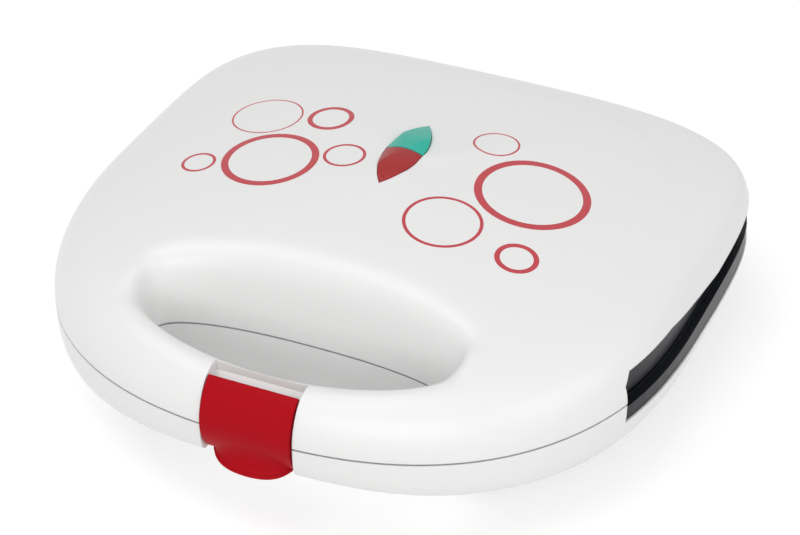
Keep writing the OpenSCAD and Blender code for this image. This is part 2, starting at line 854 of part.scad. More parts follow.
module lower_frame() {
    inner = knuckle_w/2 + knuckle_gap;
    outer = inner + side_knuckle_w;
    color(black_plastic) on_parting() lower_side() difference() {
        union() {
            frame_ring(lower_skirt_h);
            window_ring(ledge_in, ledge_bite)
                window_profile(window_down, window_back_down, 0, window_gap, ledge_top, frame_back_y);
            for (x = [-hinge_x, hinge_x]) {
                knuckle(x - outer, x - inner);
                knuckle(x + inner, x + outer);
            }
            at_each(screw_spots) translate([0, 0, bezel_z]) cylinder(r = boss_r, h = low_boss_z - bezel_z);
        }
        for (x = [-hinge_x, hinge_x])
            translate([0, hinge_y, 0]) along_x(pin_d/2, x - outer - 1, x + outer + 1);
        at_each(screw_spots) translate([0, 0, bezel_z + 1]) cylinder(r = screw_d/2, h = low_boss_z);
    }
}

module hinge_pins() {
    reach = knuckle_w/2 + knuckle_gap + side_knuckle_w;
    color(steel) on_parting() for (x = [-hinge_x, hinge_x])
        translate([0, hinge_y, 0]) along_x(pin_d/2, x - reach, x + reach);
}

// ---- Cooking plates ----

// Corners of half a cooking square, drawn in from its edges
function half_square(inset, side) =
    let (
        w = slice_w/2 - inset,
        d = slice_d/2 - inset,
        cut = (ridge_w/2 + inset)*sqrt(pow(slice_w, 2) + pow(slice_d, 2)),
        cut_x = cut/slice_d,
        cut_y = cut/slice_w,
        top_x = w - cut_x - inset*slice_w/slice_d,
        low_y = d - cut_y - inset*slice_d/slice_w
    )
    [[-side*w, side*d], [-side*w, -side*low_y], [side*top_x, side*d]];

function arc_at(corner, before, after, r) =
    let (
        u = (before - corner)/norm(before - corner),
        v = (after - corner)/norm(after - corner),
        half = acos(u*v)/2,
        middle = corner + (u + v)/norm(u + v)*(r/sin(half)),
        from = corner + u*r/tan(half),
        to = corner + v*r/tan(half),
        start = atan2(from[1] - middle[1], from[0] - middle[0]),
        turn = atan2(to[1] - middle[1], to[0] - middle[0]) - start,
        sweep = turn > 180 ? turn - 360 : (turn < -180 ? turn + 360 : turn),
        steps = 6
    )
    [for (i = [0:steps]) middle + r*[cos(start + sweep*i/steps), sin(start + sweep*i/steps)]];

function pocket_outline(inset, side, r) =
    let (c = half_square(inset, side))
    [for (i = [0:2]) each arc_at(c[i], c[(i + 2)%3], c[(i + 1)%3], r)];

// Closed prism between two outlines with as many points, at two heights
module loft(low, high, z0, z1) {
    n = len(low);
    polyhedron(
        points = concat([for (p = low) [p[0], p[1], z0]], [for (p = high) [p[0], p[1], z1]]),
        faces = concat(
            [[for (i = [0:n - 1]) i]],
            [[for (i = [0:n - 1]) 2*n - 1 - i]],
            [for (i = [0:n - 1]) [i, n + i, n + (i + 1)%n, (i + 1)%n]]
        )
    );
}

module pocket(side, grow, z0, z1) {
    small_r = 4;
    loft(pocket_outline(-grow, side, pocket_r), pocket_outline(pocket_lean - grow, side, small_r), z0, z1);
}

module each_pocket(grow, z0, z1)
    for (x = [-1, 1]) translate([x*(slice_w + slice_gap)/2, plate_y, 0])
        for (side = [-1, 1]) mirror([x < 0 ? 1 : 0, 0, 0]) pocket(side, grow, z0, z1);

module plate_body() {
    flange_mid_z = plate_gap + flange_t/2;
    difference() {
        union() {
            translate([0, plate_y, 0]) slab(plate_w, plate_d, plate_corner, plate_gap, plate_gap + flange_t);
            each_pocket(pocket_wall, flange_mid_z, pocket_back_z);
            translate([0, plate_y, flange_mid_z]) {
                at_each(post_spots) cylinder(r = post_r, h = reflector_z - flange_mid_z);
                cylinder(r = sensor_boss_r, h = pocket_back_z - flange_mid_z);
            }
        }
        each_pocket(0, plate_gap - eps, plate_gap + pocket_depth);
        translate([0, plate_y, pocket_back_z - thread_len - post_bore_end])
            at_each(post_spots) cylinder(r = plate_screw_d/2, h = reflector_z);
    }
}

module upper_plate() color(plate_grey) on_parting() plate_body();

module lower_plate() color(plate_grey) on_parting() lower_side() plate_body();

// ---- Heaters and reflectors ----

module heater_loop() translate([0, plate_y, heater_z]) {
    half_w = heater_w/2;
    half_len = heater_len/2;
    r = heater_d/2;
    for (side = [-1, 1]) {
        translate([side*half_w, -half_len + heater_bend, 0])
            rotate([-90, 0, 0]) cylinder(r = r, h = heater_len - 2*heater_bend, $fn = 32);
        for (end = [-1, 1])
            translate([side*(half_w - heater_bend), end*(half_len - heater_bend), 0])
                rotate([0, 0, side > 0 ? (end > 0 ? 0 : -90) : (end > 0 ? 90 : 180)])
                rotate_extrude(angle = 90, $fn = 64) translate([heater_bend, 0]) circle(r = r, $fn = 32);
        translate([side > 0 ? heater_gap/2 - r : -(half_w - heater_bend), half_len, 0])
            rotate([0, 90, 0]) cylinder(r = r, h = half_w - heater_bend - heater_gap/2 + r, $fn = 32);
        translate([side*heater_gap/2, half_len, 0])
            cylinder(r = terminal_r, h = terminal_z - heater_z, $fn = 24);
    }
    translate([-(half_w - heater_bend), -half_len, 0])
        rotate([0, 90, 0]) cylinder(r = r, h = 2*(half_w - heater_bend), $fn = 32);
}

module upper_heater() color(steel) on_parting() heater_loop();

module lower_heater() color(steel) on_parting() lower_side() heater_loop();

// Pressed tray that clamps a frame's bezel between itself and a plate
module reflector_tray(sensor_hole_r) {
    w = opening_w + 2*reflector_lip;
    d = opening_d + 2*reflector_lip;
    lean = reflector_lean;
    top_z = reflector_z + sheet_t;
    brim = (plate_w - w)/2;
    translate([0, plate_y, 0]) difference() {
        union() {
            slab(w + 2*brim, d + 2*brim, plate_corner + brim, bezel_back_z, bezel_back_z + sheet_t);
            loft(rounded_rect(w, d, plate_corner), rounded_rect(w - 2*lean, d - 2*lean, plate_corner),
                 bezel_back_z, top_z);
        }
        loft(rounded_rect(w - 2*sheet_t, d - 2*sheet_t, plate_corner - sheet_t),
             rounded_rect(w - 2*lean - 2*sheet_t, d - 2*lean - 2*sheet_t, plate_corner - sheet_t),
             bezel_back_z - eps, reflector_z);
        at_each(post_spots) cylinder(r = plate_screw_d/2 + bore_room, h = far);
        for (side = [-1, 1])
            translate([side*heater_gap/2, heater_len/2, 0]) cylinder(r = terminal_r + terminal_room, h = far);
        if (sensor_hole_r > 0) cylinder(r = sensor_hole_r, h = far);
    }
}

module upper_reflector() color(steel) on_parting() reflector_tray(0);

module lower_reflector() color(steel) on_parting() lower_side() reflector_tray(thermostat_r + 1);

module plate_screw_set() translate([0, plate_y, reflector_z + sheet_t]) at_each(post_spots)
    screw(plate_screw_d/2, reflector_z + sheet_t - pocket_back_z + thread_len);

module upper_plate_screws() color(steel) on_parting() plate_screw_set();

module lower_plate_screws() color(steel) on_parting() lower_side() plate_screw_set();

// ---- Shell screws ----

module lid_screws() color(steel) on_parting() at_each(screw_spots)
    translate([0, 0, bezel_z]) mirror([0, 0, 1]) screw(screw_d/2, frame_t + screw_bite);

module base_screws() color(steel) on_parting() at_each(screw_spots)
    translate([0, 0, -low_boss_z - head_floor]) mirror([0, 0, 1]) screw(screw_d/2, head_floor + base_bite);

// ---- Lamps ----

module lens(front) color(front ? [0.75, 0.12, 0.12] : [0.1, 0.62, 0.5]) on_parting() intersection() {
    union() {
        translate([0, 0, lens_flange_z]) linear_extrude(lens_top_z - lens_flange_z) leaf(0);
        translate([0, 0, lens_flange_z]) linear_extrude(lens_flange_t) leaf(lens_flange);
    }
    translate([-far/2, front ? lens_y - far - lens_split : lens_y + lens_split, 0]) cube([far, far, far]);
    translate([0, far/2, lens_top_z - lens_top_r])
        rotate([90, 0, 0]) cylinder(r = lens_top_r, h = far, $fn = 96);
    translate([0, lens_y, lens_top_z - lens_long_r]) sphere(r = lens_long_r, $fn = 96);
}

module green_lens() lens(false);

module red_lens() lens(true);

// Neon lamps lie on the holder, one under each lens
module neon_lamps() color([0.95, 0.75, 0.6]) on_parting() for (side = [-1, 1])
    translate([0, lens_y + side*(lamp_len + lamp_gap)/2, lamp_z]) rotate([90, 0, 0]) {
        translate([0, 0, -lamp_len/2]) cylinder(r = lamp_d/2, h = lamp_len - lamp_d/2, $fn = 32);
        translate([0, 0, lamp_len/2 - lamp_d/2]) sphere(r = lamp_d/2, $fn = 32);
    }

module lamp_holder() color(white_plastic) on_parting() difference() {
    union() {
        translate([-holder_w/2, lens_y - holder_reach - lamp_d, holder_z - holder_t])
            cube([holder_w, 2*(holder_reach + lamp_d), holder_t]);
        for (side = [-1, 1])
            translate([side*(lamp_d/2 + holder_rib_gap + holder_rib_t/2), lens_y, holder_z - eps])
                linear_extrude(lamp_d*0.6) square([holder_rib_t, 2*(lamp_len + holder_rib_end)], center = true);
    }
    for (y = holder_screw_y) translate([0, y, 0]) cylinder(r = plate_screw_d/2 + bore_room, h = far);
}

module lamp_holder_screws() color(steel) on_parting() for (y = holder_screw_y)
    translate([0, y, holder_z - holder_t])
        mirror([0, 0, 1]) screw(plate_screw_d/2, holder_t + holder_bite);

// ---- Sensors and wiring ----

// A capsule across the middle of the plate, held down by a spring clip
module thermal_fuse() color([0.85, 0.82, 0.7]) on_parting() translate([0, plate_y, pocket_back_z]) {
    translate([0, 0, fuse_r]) along_x(fuse_r, -fuse_len/2, fuse_len/2);
    linear_extrude(fuse_clip_t) square([fuse_clip_w, fuse_clip_len], center = true);
    linear_extrude(2*fuse_r + fuse_clip_t/2) square([fuse_clip_w, 2*(fuse_r + fuse_clip_t)], center = true);
}

module thermostat() color([0.35, 0.33, 0.3]) on_parting() lower_side()
    translate([0, plate_y, pocket_back_z]) {
        cylinder(r = thermostat_r, h = thermostat_h);
        translate([0, 0, thermostat_h]) cylinder(r = thermostat_r - 1.5, h = thermostat_cap_h);
        for (side = [-1, 1])
            translate([side*tag_x - tag_t/2, -tag_w/2, thermostat_h + thermostat_cap_h - tag_bite])
                cube([tag_t, tag_w, tag_len]);
    }

module lid_leads() color([0.8, 0.3, 0.2]) on_parting() for (side = [-1, 1])
    lead([
        [side*heater_gap/2, block_y, terminal_z],
        [side*heater_gap/2, block_y, lamp_z],
        [side*lamp_d, lens_y + 2*lamp_len - lamp_gap/2, lamp_z],
        [side*lead_x, lens_y + lamp_len + lamp_gap/2 + lead_gap, lamp_z]
    ]);

module base_leads() color([0.8, 0.3, 0.2]) on_parting() {
    z = block_foot_z + block_size[2]/2;
    tag_z = -(pocket_back_z + thermostat_h + thermostat_cap_h + tag_len - 2*tag_bite);
    for (side = [-1, 1]) {
        lead([
            [side*tag_x, block_y - block_size[1]/2, z],
            [side*tag_x, plate_y + 1.5*tag_w, z],
            [side*tag_x, plate_y + tag_w/2 + lead_gap, tag_z]
        ]);
        lead([
            [side*heater_gap/2, block_y, -terminal_z],
            [side*heater_gap/2, block_y, block_foot_z + block_size[2]]
        ]);
    }
}

module terminal_block() color([0.85, 0.84, 0.8]) on_parting()
    translate([-block_size[0]/2, block_y - block_size[1]/2, block_foot_z]) difference() {
        cube(block_size);
        for (i = [0:2])
            translate([block_size[0]*(i + 0.5)/3, block_size[1]*3/4, block_size[2] - block_hole_r])
                cylinder(r = block_hole_r, h = block_size[2], $fn = 32);
    }

module cord_clamp() color(black_plastic) on_parting() translate([0, clamp_y, 0]) difference() {
    translate([-clamp_w/2, -clamp_t/2, clamp_foot_z]) cube([clamp_w, clamp_t, clamp_top_z - clamp_foot_z]);
    translate([0, far/2, -gland_drop]) rotate([90, 0, 0]) cylinder(r = cord_d/2 + bore_room, h = far);
    for (side = [-1, 1]) translate([side*clamp_screw_x, 0, -far])
        cylinder(r = plate_screw_d/2 + bore_room, h = far);
}

module cord_clamp_screws() color(steel) on_parting() for (side = [-1, 1])
    translate([side*clamp_screw_x, clamp_y, clamp_top_z])
        screw(plate_screw_d/2, clamp_top_z - clamp_foot_z + thread_len);

module cord_gland() color(black_plastic) on_parting() translate([0, gland_y, -gland_drop])
    rotate([90, 0, 0]) difference() {
        union() {
            translate([0, 0, -gland_flange_t]) cylinder(r = gland_flange_r, h = gland_flange_t);
            cylinder(r = gland_r - pin_room, h = collar_len);
            translate([0, 0, collar_len]) cylinder(r = gland_lip_r, h = gland_flange_t);
        }
        translate([0, 0, -far/2]) cylinder(r = cord_d/2, h = far);
    }

module rubber_feet() color([0.12, 0.12, 0.12]) at_each(foot_spots) cylinder(r = foot_d/2, h = foot_h);

// ---- Clip ----

// Side profile of the clip's face: an arc that ends in a round hook
module clip_profile() {
    intersection() {
        difference() {
            clip_disc(clip_r);
            clip_disc(clip_r - clip_t);
        }
        translate([clip_y, clip_z]) polygon([
            [0, 0],
            far*[-cos(clip_top_angle), sin(clip_top_angle)],
            far*[-1, 0],
            far*[-cos(clip_low_angle), -sin(clip_low_angle)]
        ]);
    }
    translate([tab_foot_y, clip_z - (clip_r - hook_r)*sin(clip_low_angle)]) circle(r = hook_r, $fn = 32);
}

// Side profile of the thumb tab: a scoop that runs down and forward to a round lip
module tab_profile() {
    start = [clip_y - clip_r*cos(tab_angle), clip_z - clip_r*sin(tab_angle)];
    lip = [front_y - tab_ahead, clip_z - tab_drop];
    lip_face = lip + lip_r*[-1, 0.5]/norm([-1, 0.5]);
    polygon([
        start + [clip_t/2, 0],
        start,
        (start + lip_face)/2 + [tab_scoop, 0],
        lip_face,
        lip,
        lip - [0, lip_r],
        [tab_foot_y, lip[1] - lip_r],
        [tab_foot_y, clip_z - (clip_r - hook_r)*sin(clip_low_angle)]
    ]);
    translate(lip) circle(r = lip_r, $fn = 32);
}

// Plan of the thumb tab: half an ellipse that reaches forward to the lip
module tab_plan()
    polygon([
        for (i = [0:24])
            let (angle = 180 + 180*i/24)
            [tab_half_w*cos(angle), tab_foot_y + (tab_foot_y - front_y + tab_ahead + lip_r)*sin(angle)]
    ]);

// Side profile of the two ribs that join the clip's face to its hub
module clip_rib_profile() intersection() {
    clip_disc(clip_r - clip_t/2);
    union() {
        translate([clip_pin_y, clip_pin_z]) circle(r = clip_hub_r, $fn = 48);
        translate([clip_pin_y - far, clip_pin_z - clip_hub_r]) square([far, 2*clip_hub_r]);
    }
}

module clip_pin() {
    reach = notch_half_w + notch_wall;
    color(steel) on_parting() translate([0, clip_pin_y, clip_pin_z]) along_x(clip_pin_d/2, -reach, reach);
}

module latch_clip() color(red_plastic) on_parting() difference() {
    union() {
        across(clip_w) clip_profile();
        intersection() {
            across(clip_w) tab_profile();
            translate([0, 0, -far/2]) linear_extrude(far) tab_plan();
        }
        for (side = [-1, 1]) translate([side*(clip_w - clip_t)/2, 0, 0]) across(clip_t) clip_rib_profile();
        translate([0, clip_pin_y, clip_pin_z]) along_x(clip_hub_r, -clip_w/2 + eps, clip_w/2 - eps);
    }
    translate([0, clip_pin_y, clip_pin_z]) along_x(clip_pin_d/2 + pin_room, -clip_w/2 - 1, clip_w/2 + 1);
}

lid_shell();
upper_frame();
upper_plate();
upper_heater();
upper_reflector();
upper_plate_screws();
lid_screws();
green_lens();
red_lens();
neon_lamps();
lamp_holder();
lamp_holder_screws();
thermal_fuse();
lid_leads();
clip_pin();
latch_clip();
base_shell();
lower_frame();
lower_plate();
lower_heater();
lower_reflector();
lower_plate_screws();
base_screws();
thermostat();
terminal_block();
cord_clamp();
cord_clamp_screws();
base_leads();
cord_gland();
hinge_pins();
rubber_feet();
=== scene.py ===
import math

import bmesh
import bpy
import numpy as np
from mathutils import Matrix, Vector


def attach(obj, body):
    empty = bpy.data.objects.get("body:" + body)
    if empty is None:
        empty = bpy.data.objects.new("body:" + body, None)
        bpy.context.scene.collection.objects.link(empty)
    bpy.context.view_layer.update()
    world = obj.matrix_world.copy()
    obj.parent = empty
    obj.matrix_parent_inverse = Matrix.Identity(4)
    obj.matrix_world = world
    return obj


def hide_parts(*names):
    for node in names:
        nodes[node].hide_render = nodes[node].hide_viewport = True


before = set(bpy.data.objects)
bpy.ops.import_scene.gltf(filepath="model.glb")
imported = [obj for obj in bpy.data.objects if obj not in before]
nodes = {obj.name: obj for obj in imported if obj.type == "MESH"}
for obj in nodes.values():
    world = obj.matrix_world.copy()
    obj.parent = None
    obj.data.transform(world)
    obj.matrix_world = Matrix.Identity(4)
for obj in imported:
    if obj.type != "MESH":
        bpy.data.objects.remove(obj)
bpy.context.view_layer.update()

MM = 0.001

# ---- Sizes of the CAD model, in millimetres and degrees ----

CASE_W = 240.0
FRONT_REACH, BACK_REACH = 126.0, 110.0
FRONT_POWER, BACK_POWER = 2.42, 4.85
WALL, SEAM = 2.5, 0.35
PARTING_H = 44.0
MID_Y = (FRONT_REACH - BACK_REACH) / 2
FRONT_Y = MID_Y - FRONT_REACH

LID_CROWN, SIDE_DROP, BACK_DROP, FRONT_DROP = 39.5, 20.0, 13.0, 14.0
SHOULDER_RUN, SHOULDER_RISE, HANDLE_SHARE = 41.0, 31.4, 0.88
SHOULDER_POWER, SHOULDER_SLOPE = 2.06, 0.1
BROW_RUN, BROW_RISE, BROW_POWER, BROW_SLOPE = 26.0, 46.0, 1.9, 0.25
GRIP_RUN, GRIP_RISE, GRIP_FLARE, GRIP_POWER = 11.5, 17.7, 7.0, 2.0
TURN_AHEAD, TURN_BEHIND = 11.0, 6.0

BASE_DEPTH, RIM_H, RIM_RUN, RIM_POWER = 36.0, 12.0, 4.0, 2.6
RIM_SWELL, SWELL_RUN = 3.6, 80.0
BASE_SLOPE, GRIP_SLOPE, DEEPEN_FROM, DEEPEN_RUN = 0.58, 0.08, 12.0, 50.0
THROAT_RUN, THROAT_RISE, THROAT_POWER, THROAT_SLOPE = 10.0, 40.0, 2, 0.3

HOLE_HALF_W, HOLE_Y, HOLE_BACK, GRIP_DEPTH = 58.0, -76.0, 14.0, 22.0
HOLE_FRONT = HOLE_Y - FRONT_Y - GRIP_DEPTH
HOLE_FRONT_POWER, HOLE_BACK_POWER = 2.1, 2.3

WINDOW_Y, WINDOW_TURN_Y, WINDOW_BACK_Y = -48.0, -14.0, 32.0
WINDOW_UP, WINDOW_BACK_UP, WINDOW_CHAMFER = 11.4, 6.6, 4.0
WINDOW_DOWN, WINDOW_BACK_DOWN = 8.0, 10.5
SCREW_SPOTS = [(x, y) for x in (-107.5, 107.5) for y in (-26.0, 76.0)]
FOOT_SPOTS = [(x, y) for x in (-62.0, 62.0) for y in (-36.0, 78.0)]

CLIP_W, CLIP_R, CLIP_T = 34.0, 18.5, 2.4
CLIP_Y, CLIP_Z = FRONT_Y + 17.8, 1.0
CLIP_TOP, CLIP_LOW = 57.0, 52.0
CLIP_PIN_Y, CLIP_PIN_Z, CLIP_PIN_R = CLIP_Y - 7.5, 8.0, 1.5
TAB_HALF_W, TAB_AHEAD, TAB_DROP, LIP_R = 15.0, 0.6, 16.6, 0.8
NOTCH_HALF_W, NOTCH_WALL = 17.6, 2.0
LID_NOTCH, BASE_NOTCH = 14.5, 8.8

LENS_LEN, LENS_W, LENS_Y = 46.0, 14.5, 16.0
GLAND_Y, GLAND_DROP, COLLAR_R, COLLAR_LEN = 106.0, 22.0, 9.0, 20.0
GLAND_R, FLANGE_R, FLANGE_LIP_R, FLANGE_T = 6.5, 8.6, 7.6, 2.5
# Clearance of a hole round what goes through it, and how far a cutter runs past what it cuts
ROOM, PAST = 0.2, 1.0

# ---- The shells' heights, as in the CAD model, on whole arrays of points ----


def power_sum(u, v, n):
    return np.abs(u) ** n + np.abs(v) ** n


def case_point(angle, inset):
    """Points of the casing's outline, drawn in by inset."""
    ahead = np.sin(angle) < 0
    b = np.where(ahead, FRONT_REACH, BACK_REACH) - inset
    n = np.where(ahead, FRONT_POWER, BACK_POWER)
    r = power_sum(np.cos(angle) / (CASE_W / 2 - inset), np.sin(angle) / b, n) ** (-1 / n)
    return r * np.cos(angle), MID_Y + r * np.sin(angle)


def hole_point(angle, grow):
    """Points of the finger hole's outline, grown by grow, one for each of the casing's points."""
    ahead = np.sin(angle) < 0
    half = HOLE_HALF_W + grow
    n = np.where(ahead, HOLE_FRONT_POWER, HOLE_BACK_POWER)
    b = np.where(ahead, HOLE_FRONT, HOLE_BACK) + grow
    across = np.minimum(1, np.abs(case_point(angle, grow)[0]) / (CASE_W / 2 - grow))
    front_share = 1 - (1 - across) ** (CASE_W / 2 / HOLE_HALF_W)
    back_share = np.abs(np.cos(angle)) ** (2 / n)
    share = np.where(ahead, front_share, back_share)
    along = b * np.maximum(0, 1 - share**n) ** (1 / n)
    return np.where(np.cos(angle) < 0, -1, 1) * half * share, HOLE_Y + np.where(ahead, -along, along)


# These keep the next function from dividing by zero
TINY, TINIER = 1e-9, 1e-12


def depth_inside(x, y, a, b, n):
    """About how far points lie inside a rounded outline with half widths a and b."""
    total = np.maximum(TINY, power_sum(x / a, y / b, n))
    slope_x = np.abs(x / a) ** (n - 1) / a
    slope_y = np.abs(y / b) ** (n - 1) / b
    return (1 - total ** (1 / n)) / (np.hypot(slope_x, slope_y) * total ** (1 / n - 1) + TINIER)


def case_inset(x, y, drawn_in):
    """How far points lie inside the casing's outline."""
    ahead = y < MID_Y
    b = np.where(ahead, FRONT_REACH, BACK_REACH) - drawn_in
    n = np.where(ahead, FRONT_POWER, BACK_POWER)
    return np.maximum(0, depth_inside(x, y - MID_Y, CASE_W / 2 - drawn_in, b, n))


def past_hole(x, y, grow):
    """How far points lie outside the finger hole's outline."""
    ahead = y < HOLE_Y
    b = np.where(ahead, HOLE_FRONT, HOLE_BACK) + grow
    n = np.where(ahead, HOLE_FRONT_POWER, HOLE_BACK_POWER)
    return np.maximum(0, -depth_inside(x, y - HOLE_Y, HOLE_HALF_W + grow, b, n))


def edge_rise(s, run, height, n, slope):
    """Height of a rounded edge at a distance s from its foot."""
    return height * (1 - np.maximum(0, 1 - s / run) ** n) ** (1 / n) + slope * s


# The smallest height that blends, and how tight the turns are
LEAST_H, TURN_POWER = 0.001, 8.0


def least(*heights):
    """The lowest of some heights, with soft turns where they meet."""
    return sum(np.maximum(h, LEAST_H) ** -TURN_POWER for h in heights) ** (-1 / TURN_POWER)


def ease(x):
    """Goes softly from 0 to 1 as x does."""
    t = np.clip(x, 0, 1)
    return t * t * (3 - 2 * t)


def mix(a, b, share):
    return a + (b - a) * share


def brow_height(x, y, d):
    """The lid's rise at a distance d from the hole: steep at the grip, longer and higher at the back."""
    share = ease((y - HOLE_Y + TURN_AHEAD) / (TURN_AHEAD + TURN_BEHIND))
    grip = GRIP_RISE + GRIP_FLARE * (x / HOLE_HALF_W) ** 2
    return edge_rise(
        d,
        mix(GRIP_RUN, BROW_RUN, share),
        mix(grip, BROW_RISE, share),
        mix(GRIP_POWER, BROW_POWER, share),
        BROW_SLOPE * share,
    )


# The crown never gets lower than this
LEAST_CROWN = 6.0


def lid_rise(x, y, drawn_in):
    """The lid's height over its edge; drawn_in is 0 at its outside and the wall at its inside."""
    s = case_inset(x, y, drawn_in)
    d = past_hole(x, y, drawn_in)
    along = (y - MID_Y) / BACK_REACH
    drop = np.where(y > MID_Y, BACK_DROP, FRONT_DROP)
    crown = LID_CROWN - drawn_in - SIDE_DROP * (x / (CASE_W / 2)) ** 2 - drop * along**2
    share = mix(HANDLE_SHARE, 1, ease((y - FRONT_Y) / FRONT_REACH))
    return least(
        np.maximum(LEAST_CROWN, crown),
        edge_rise(s, SHOULDER_RUN, SHOULDER_RISE * share, SHOULDER_POWER, SHOULDER_SLOPE),
        brow_height(x, y, d),
    )


def base_drop(x, y, drawn_in):
    """The base's depth below its edge."""
    s = case_inset(x, y, drawn_in)
    d = past_hole(x, y, drawn_in)
    rim = RIM_H + RIM_SWELL * ease(np.abs(x) / SWELL_RUN)
    slope = mix(GRIP_SLOPE, BASE_SLOPE, ease((y - FRONT_Y - DEEPEN_FROM) / DEEPEN_RUN))
    return least(
        BASE_DEPTH - drawn_in,
        edge_rise(s, RIM_RUN, rim, RIM_POWER, slope),
        edge_rise(d, THROAT_RUN, THROAT_RISE, THROAT_POWER, THROAT_SLOPE),
    )


# The lid's top has a panel that stands a little proud and a faint ridge along its middle
PANEL_HALF_W, PANEL_BACK, PANEL_FRONT, PANEL_POWER = 92.5, 81.0, 150.0, 4.5
PANEL_STEP, PANEL_EDGE = 0.75, 6.0
PANEL_FADE_FROM, PANEL_FADE_TO = 5.0, -52.0
RIDGE_H, RIDGE_HALF_W, RIDGE_REACH, RIDGE_FADE = 0.28, 2.6, 62.0, 30.0


def lid_detail(x, y):
    """How far the panel's edge and the ridge lie off the lid's plain form."""
    b = np.where(y > MID_Y, PANEL_BACK, PANEL_FRONT)
    outside = -depth_inside(x, y - MID_Y, PANEL_HALF_W, b, PANEL_POWER)
    fade = ease((y - PANEL_FADE_TO) / (PANEL_FADE_FROM - PANEL_FADE_TO))
    step = -PANEL_STEP * ease(0.5 + outside / PANEL_EDGE) * fade
    away = np.abs(y - LENS_Y)
    ridge = RIDGE_H * np.exp(-((x / RIDGE_HALF_W) ** 2)) * ease((RIDGE_REACH - away) / RIDGE_FADE)
    return step + ridge


# ---- Mesh helpers ----

FAR = 300.0
# Columns of points round the shells, and rows of points from the rims to half way between them
SPOKES, OUTER_RINGS, INNER_RINGS = 480, 44, 14
# The shells' material slots
OUTSIDE, CUT, INSIDE = 0, 1, 2


def mesh_object(name, points, faces, scale=MM):
    """A new object from points in millimetres, or in metres where scale is 1."""
    data = bpy.data.meshes.new(name)
    data.from_pydata([tuple(scale * c for c in p) for p in points], [], [tuple(f) for f in faces])
    data.update()
    made = bpy.data.objects.new(name, data)
    bpy.context.scene.collection.objects.link(made)
    return made


def face_out(made):
    """Turns all faces of a closed piece outwards."""
    work = bmesh.new()
    work.from_mesh(made.data)
    bmesh.ops.recalc_face_normals(work, faces=work.faces)
    work.to_mesh(made.data)
    work.free()
    return made


def ring_share(i, rings):
    """How far from the casing's rim to the hole's rim a row lies; rows are closer together at both rims."""
    return (i / rings) ** 2 / 2 if i <= rings else 1 - ((2 * rings - i) / rings) ** 2 / 2


def shell_sheet(drawn_in, rings, up):
    """Rows of points of one of a shell's surfaces, from the casing's rim to the hole's rim."""
    angle = 2 * math.pi * (np.arange(SPOKES) + 0.5) / SPOKES
    ax, ay = case_point(angle, drawn_in)
    bx, by = hole_point(angle, drawn_in)
    rows = []
    for i in range(2 * rings + 1):
        share = ring_share(i, rings)
        x, y = ax + (bx - ax) * share, ay + (by - ay) * share
        if i in (0, 2 * rings):
            h = np.zeros(SPOKES)
        elif up:
            h = lid_rise(x, y, drawn_in) + (lid_detail(x, y) if drawn_in == 0 else 0)
        else:
            h = base_drop(x, y, drawn_in)
        z = PARTING_H + (1 if up else -1) * (SEAM + h)
        rows.append(np.stack([x, y, z], axis=1))
    return np.concatenate(rows)


def add_slots(made, index):
    """Gives a piece the shells' three material slots, so that booleans keep each face's slot."""
    for finish in (lid_printed, shell_white, painted_shade_inside):
        made.data.materials.append(finish)
    if index != OUTSIDE:
        made.data.polygons.foreach_set("material_index", [index] * len(made.data.polygons))
    return made


def band(row_a, row_b):
    """Faces between two rows of points, given by the number of each row's first point."""
    turns = [(j, (j + 1) % SPOKES) for j in range(SPOKES)]
    return [(row_a + j, row_a + k, row_b + k, row_b + j) for j, k in turns]


def bands(first, rows):
    return [face for i in range(rows) for face in band(first + i * SPOKES, first + (i + 1) * SPOKES)]


def shell_skin(name, up):
    """A shell as a closed skin: its outside, its inside, and the rims that join them."""
    outer = shell_sheet(0, OUTER_RINGS, up)
    inner = shell_sheet(WALL, INNER_RINGS, up)
    start, end = len(outer), len(outer) + len(inner)
    faces = bands(0, 2 * OUTER_RINGS)
    outer_faces = len(faces)
    faces += bands(start, 2 * INNER_RINGS)
    faces += band(0, start) + band(start - SPOKES, end - SPOKES)
    made = add_slots(mesh_object(name, np.concatenate([outer, inner]), faces), OUTSIDE)
    # The inside faces take the dark grey of the painted shade
    slots = [OUTSIDE] * outer_faces + [INSIDE] * (len(faces) - outer_faces)
    made.data.polygons.foreach_set("material_index", slots)
    return face_out(made)


def notch_lining(up, depth):
    """The middle of a shell's skin with what it encloses, cut down to the walls of the clip's notch."""
    sheet = shell_sheet(WALL / 2, INNER_RINGS, up)
    faces = bands(0, 2 * INNER_RINGS) + band(0, len(sheet) - SPOKES)
    core = face_out(mesh_object("lining", sheet, faces))
    half = NOTCH_HALF_W + NOTCH_WALL
    box = prism("box", box_outline(-half, half, -FAR, FRONT_Y + depth + NOTCH_WALL), -FAR, FAR, 2)
    return add_slots(combine(core, [box], "INTERSECT"), CUT)


def prism(name, outline, lo, hi, axis):
    """A closed extrusion of a 2-D outline between lo and hi along an axis, 0 for X, 1 for Y and 2 for Z."""

    def place(p, t):
        return {0: (t, p[0], p[1]), 1: (p[0], t, p[1]), 2: (p[0], p[1], t)}[axis]

    n = len(outline)
    points = [place(p, lo) for p in outline] + [place(p, hi) for p in outline]
    faces = [tuple(range(n)), tuple(range(2 * n - 1, n - 1, -1))]
    faces += [(i, (i + 1) % n, n + (i + 1) % n, n + i) for i in range(n)]
    return face_out(mesh_object(name, points, faces))


def circle(x, y, r, count=48):
    turn = [2 * math.pi * i / count for i in range(count)]
    return [(x + r * math.cos(a), y + r * math.sin(a)) for a in turn]


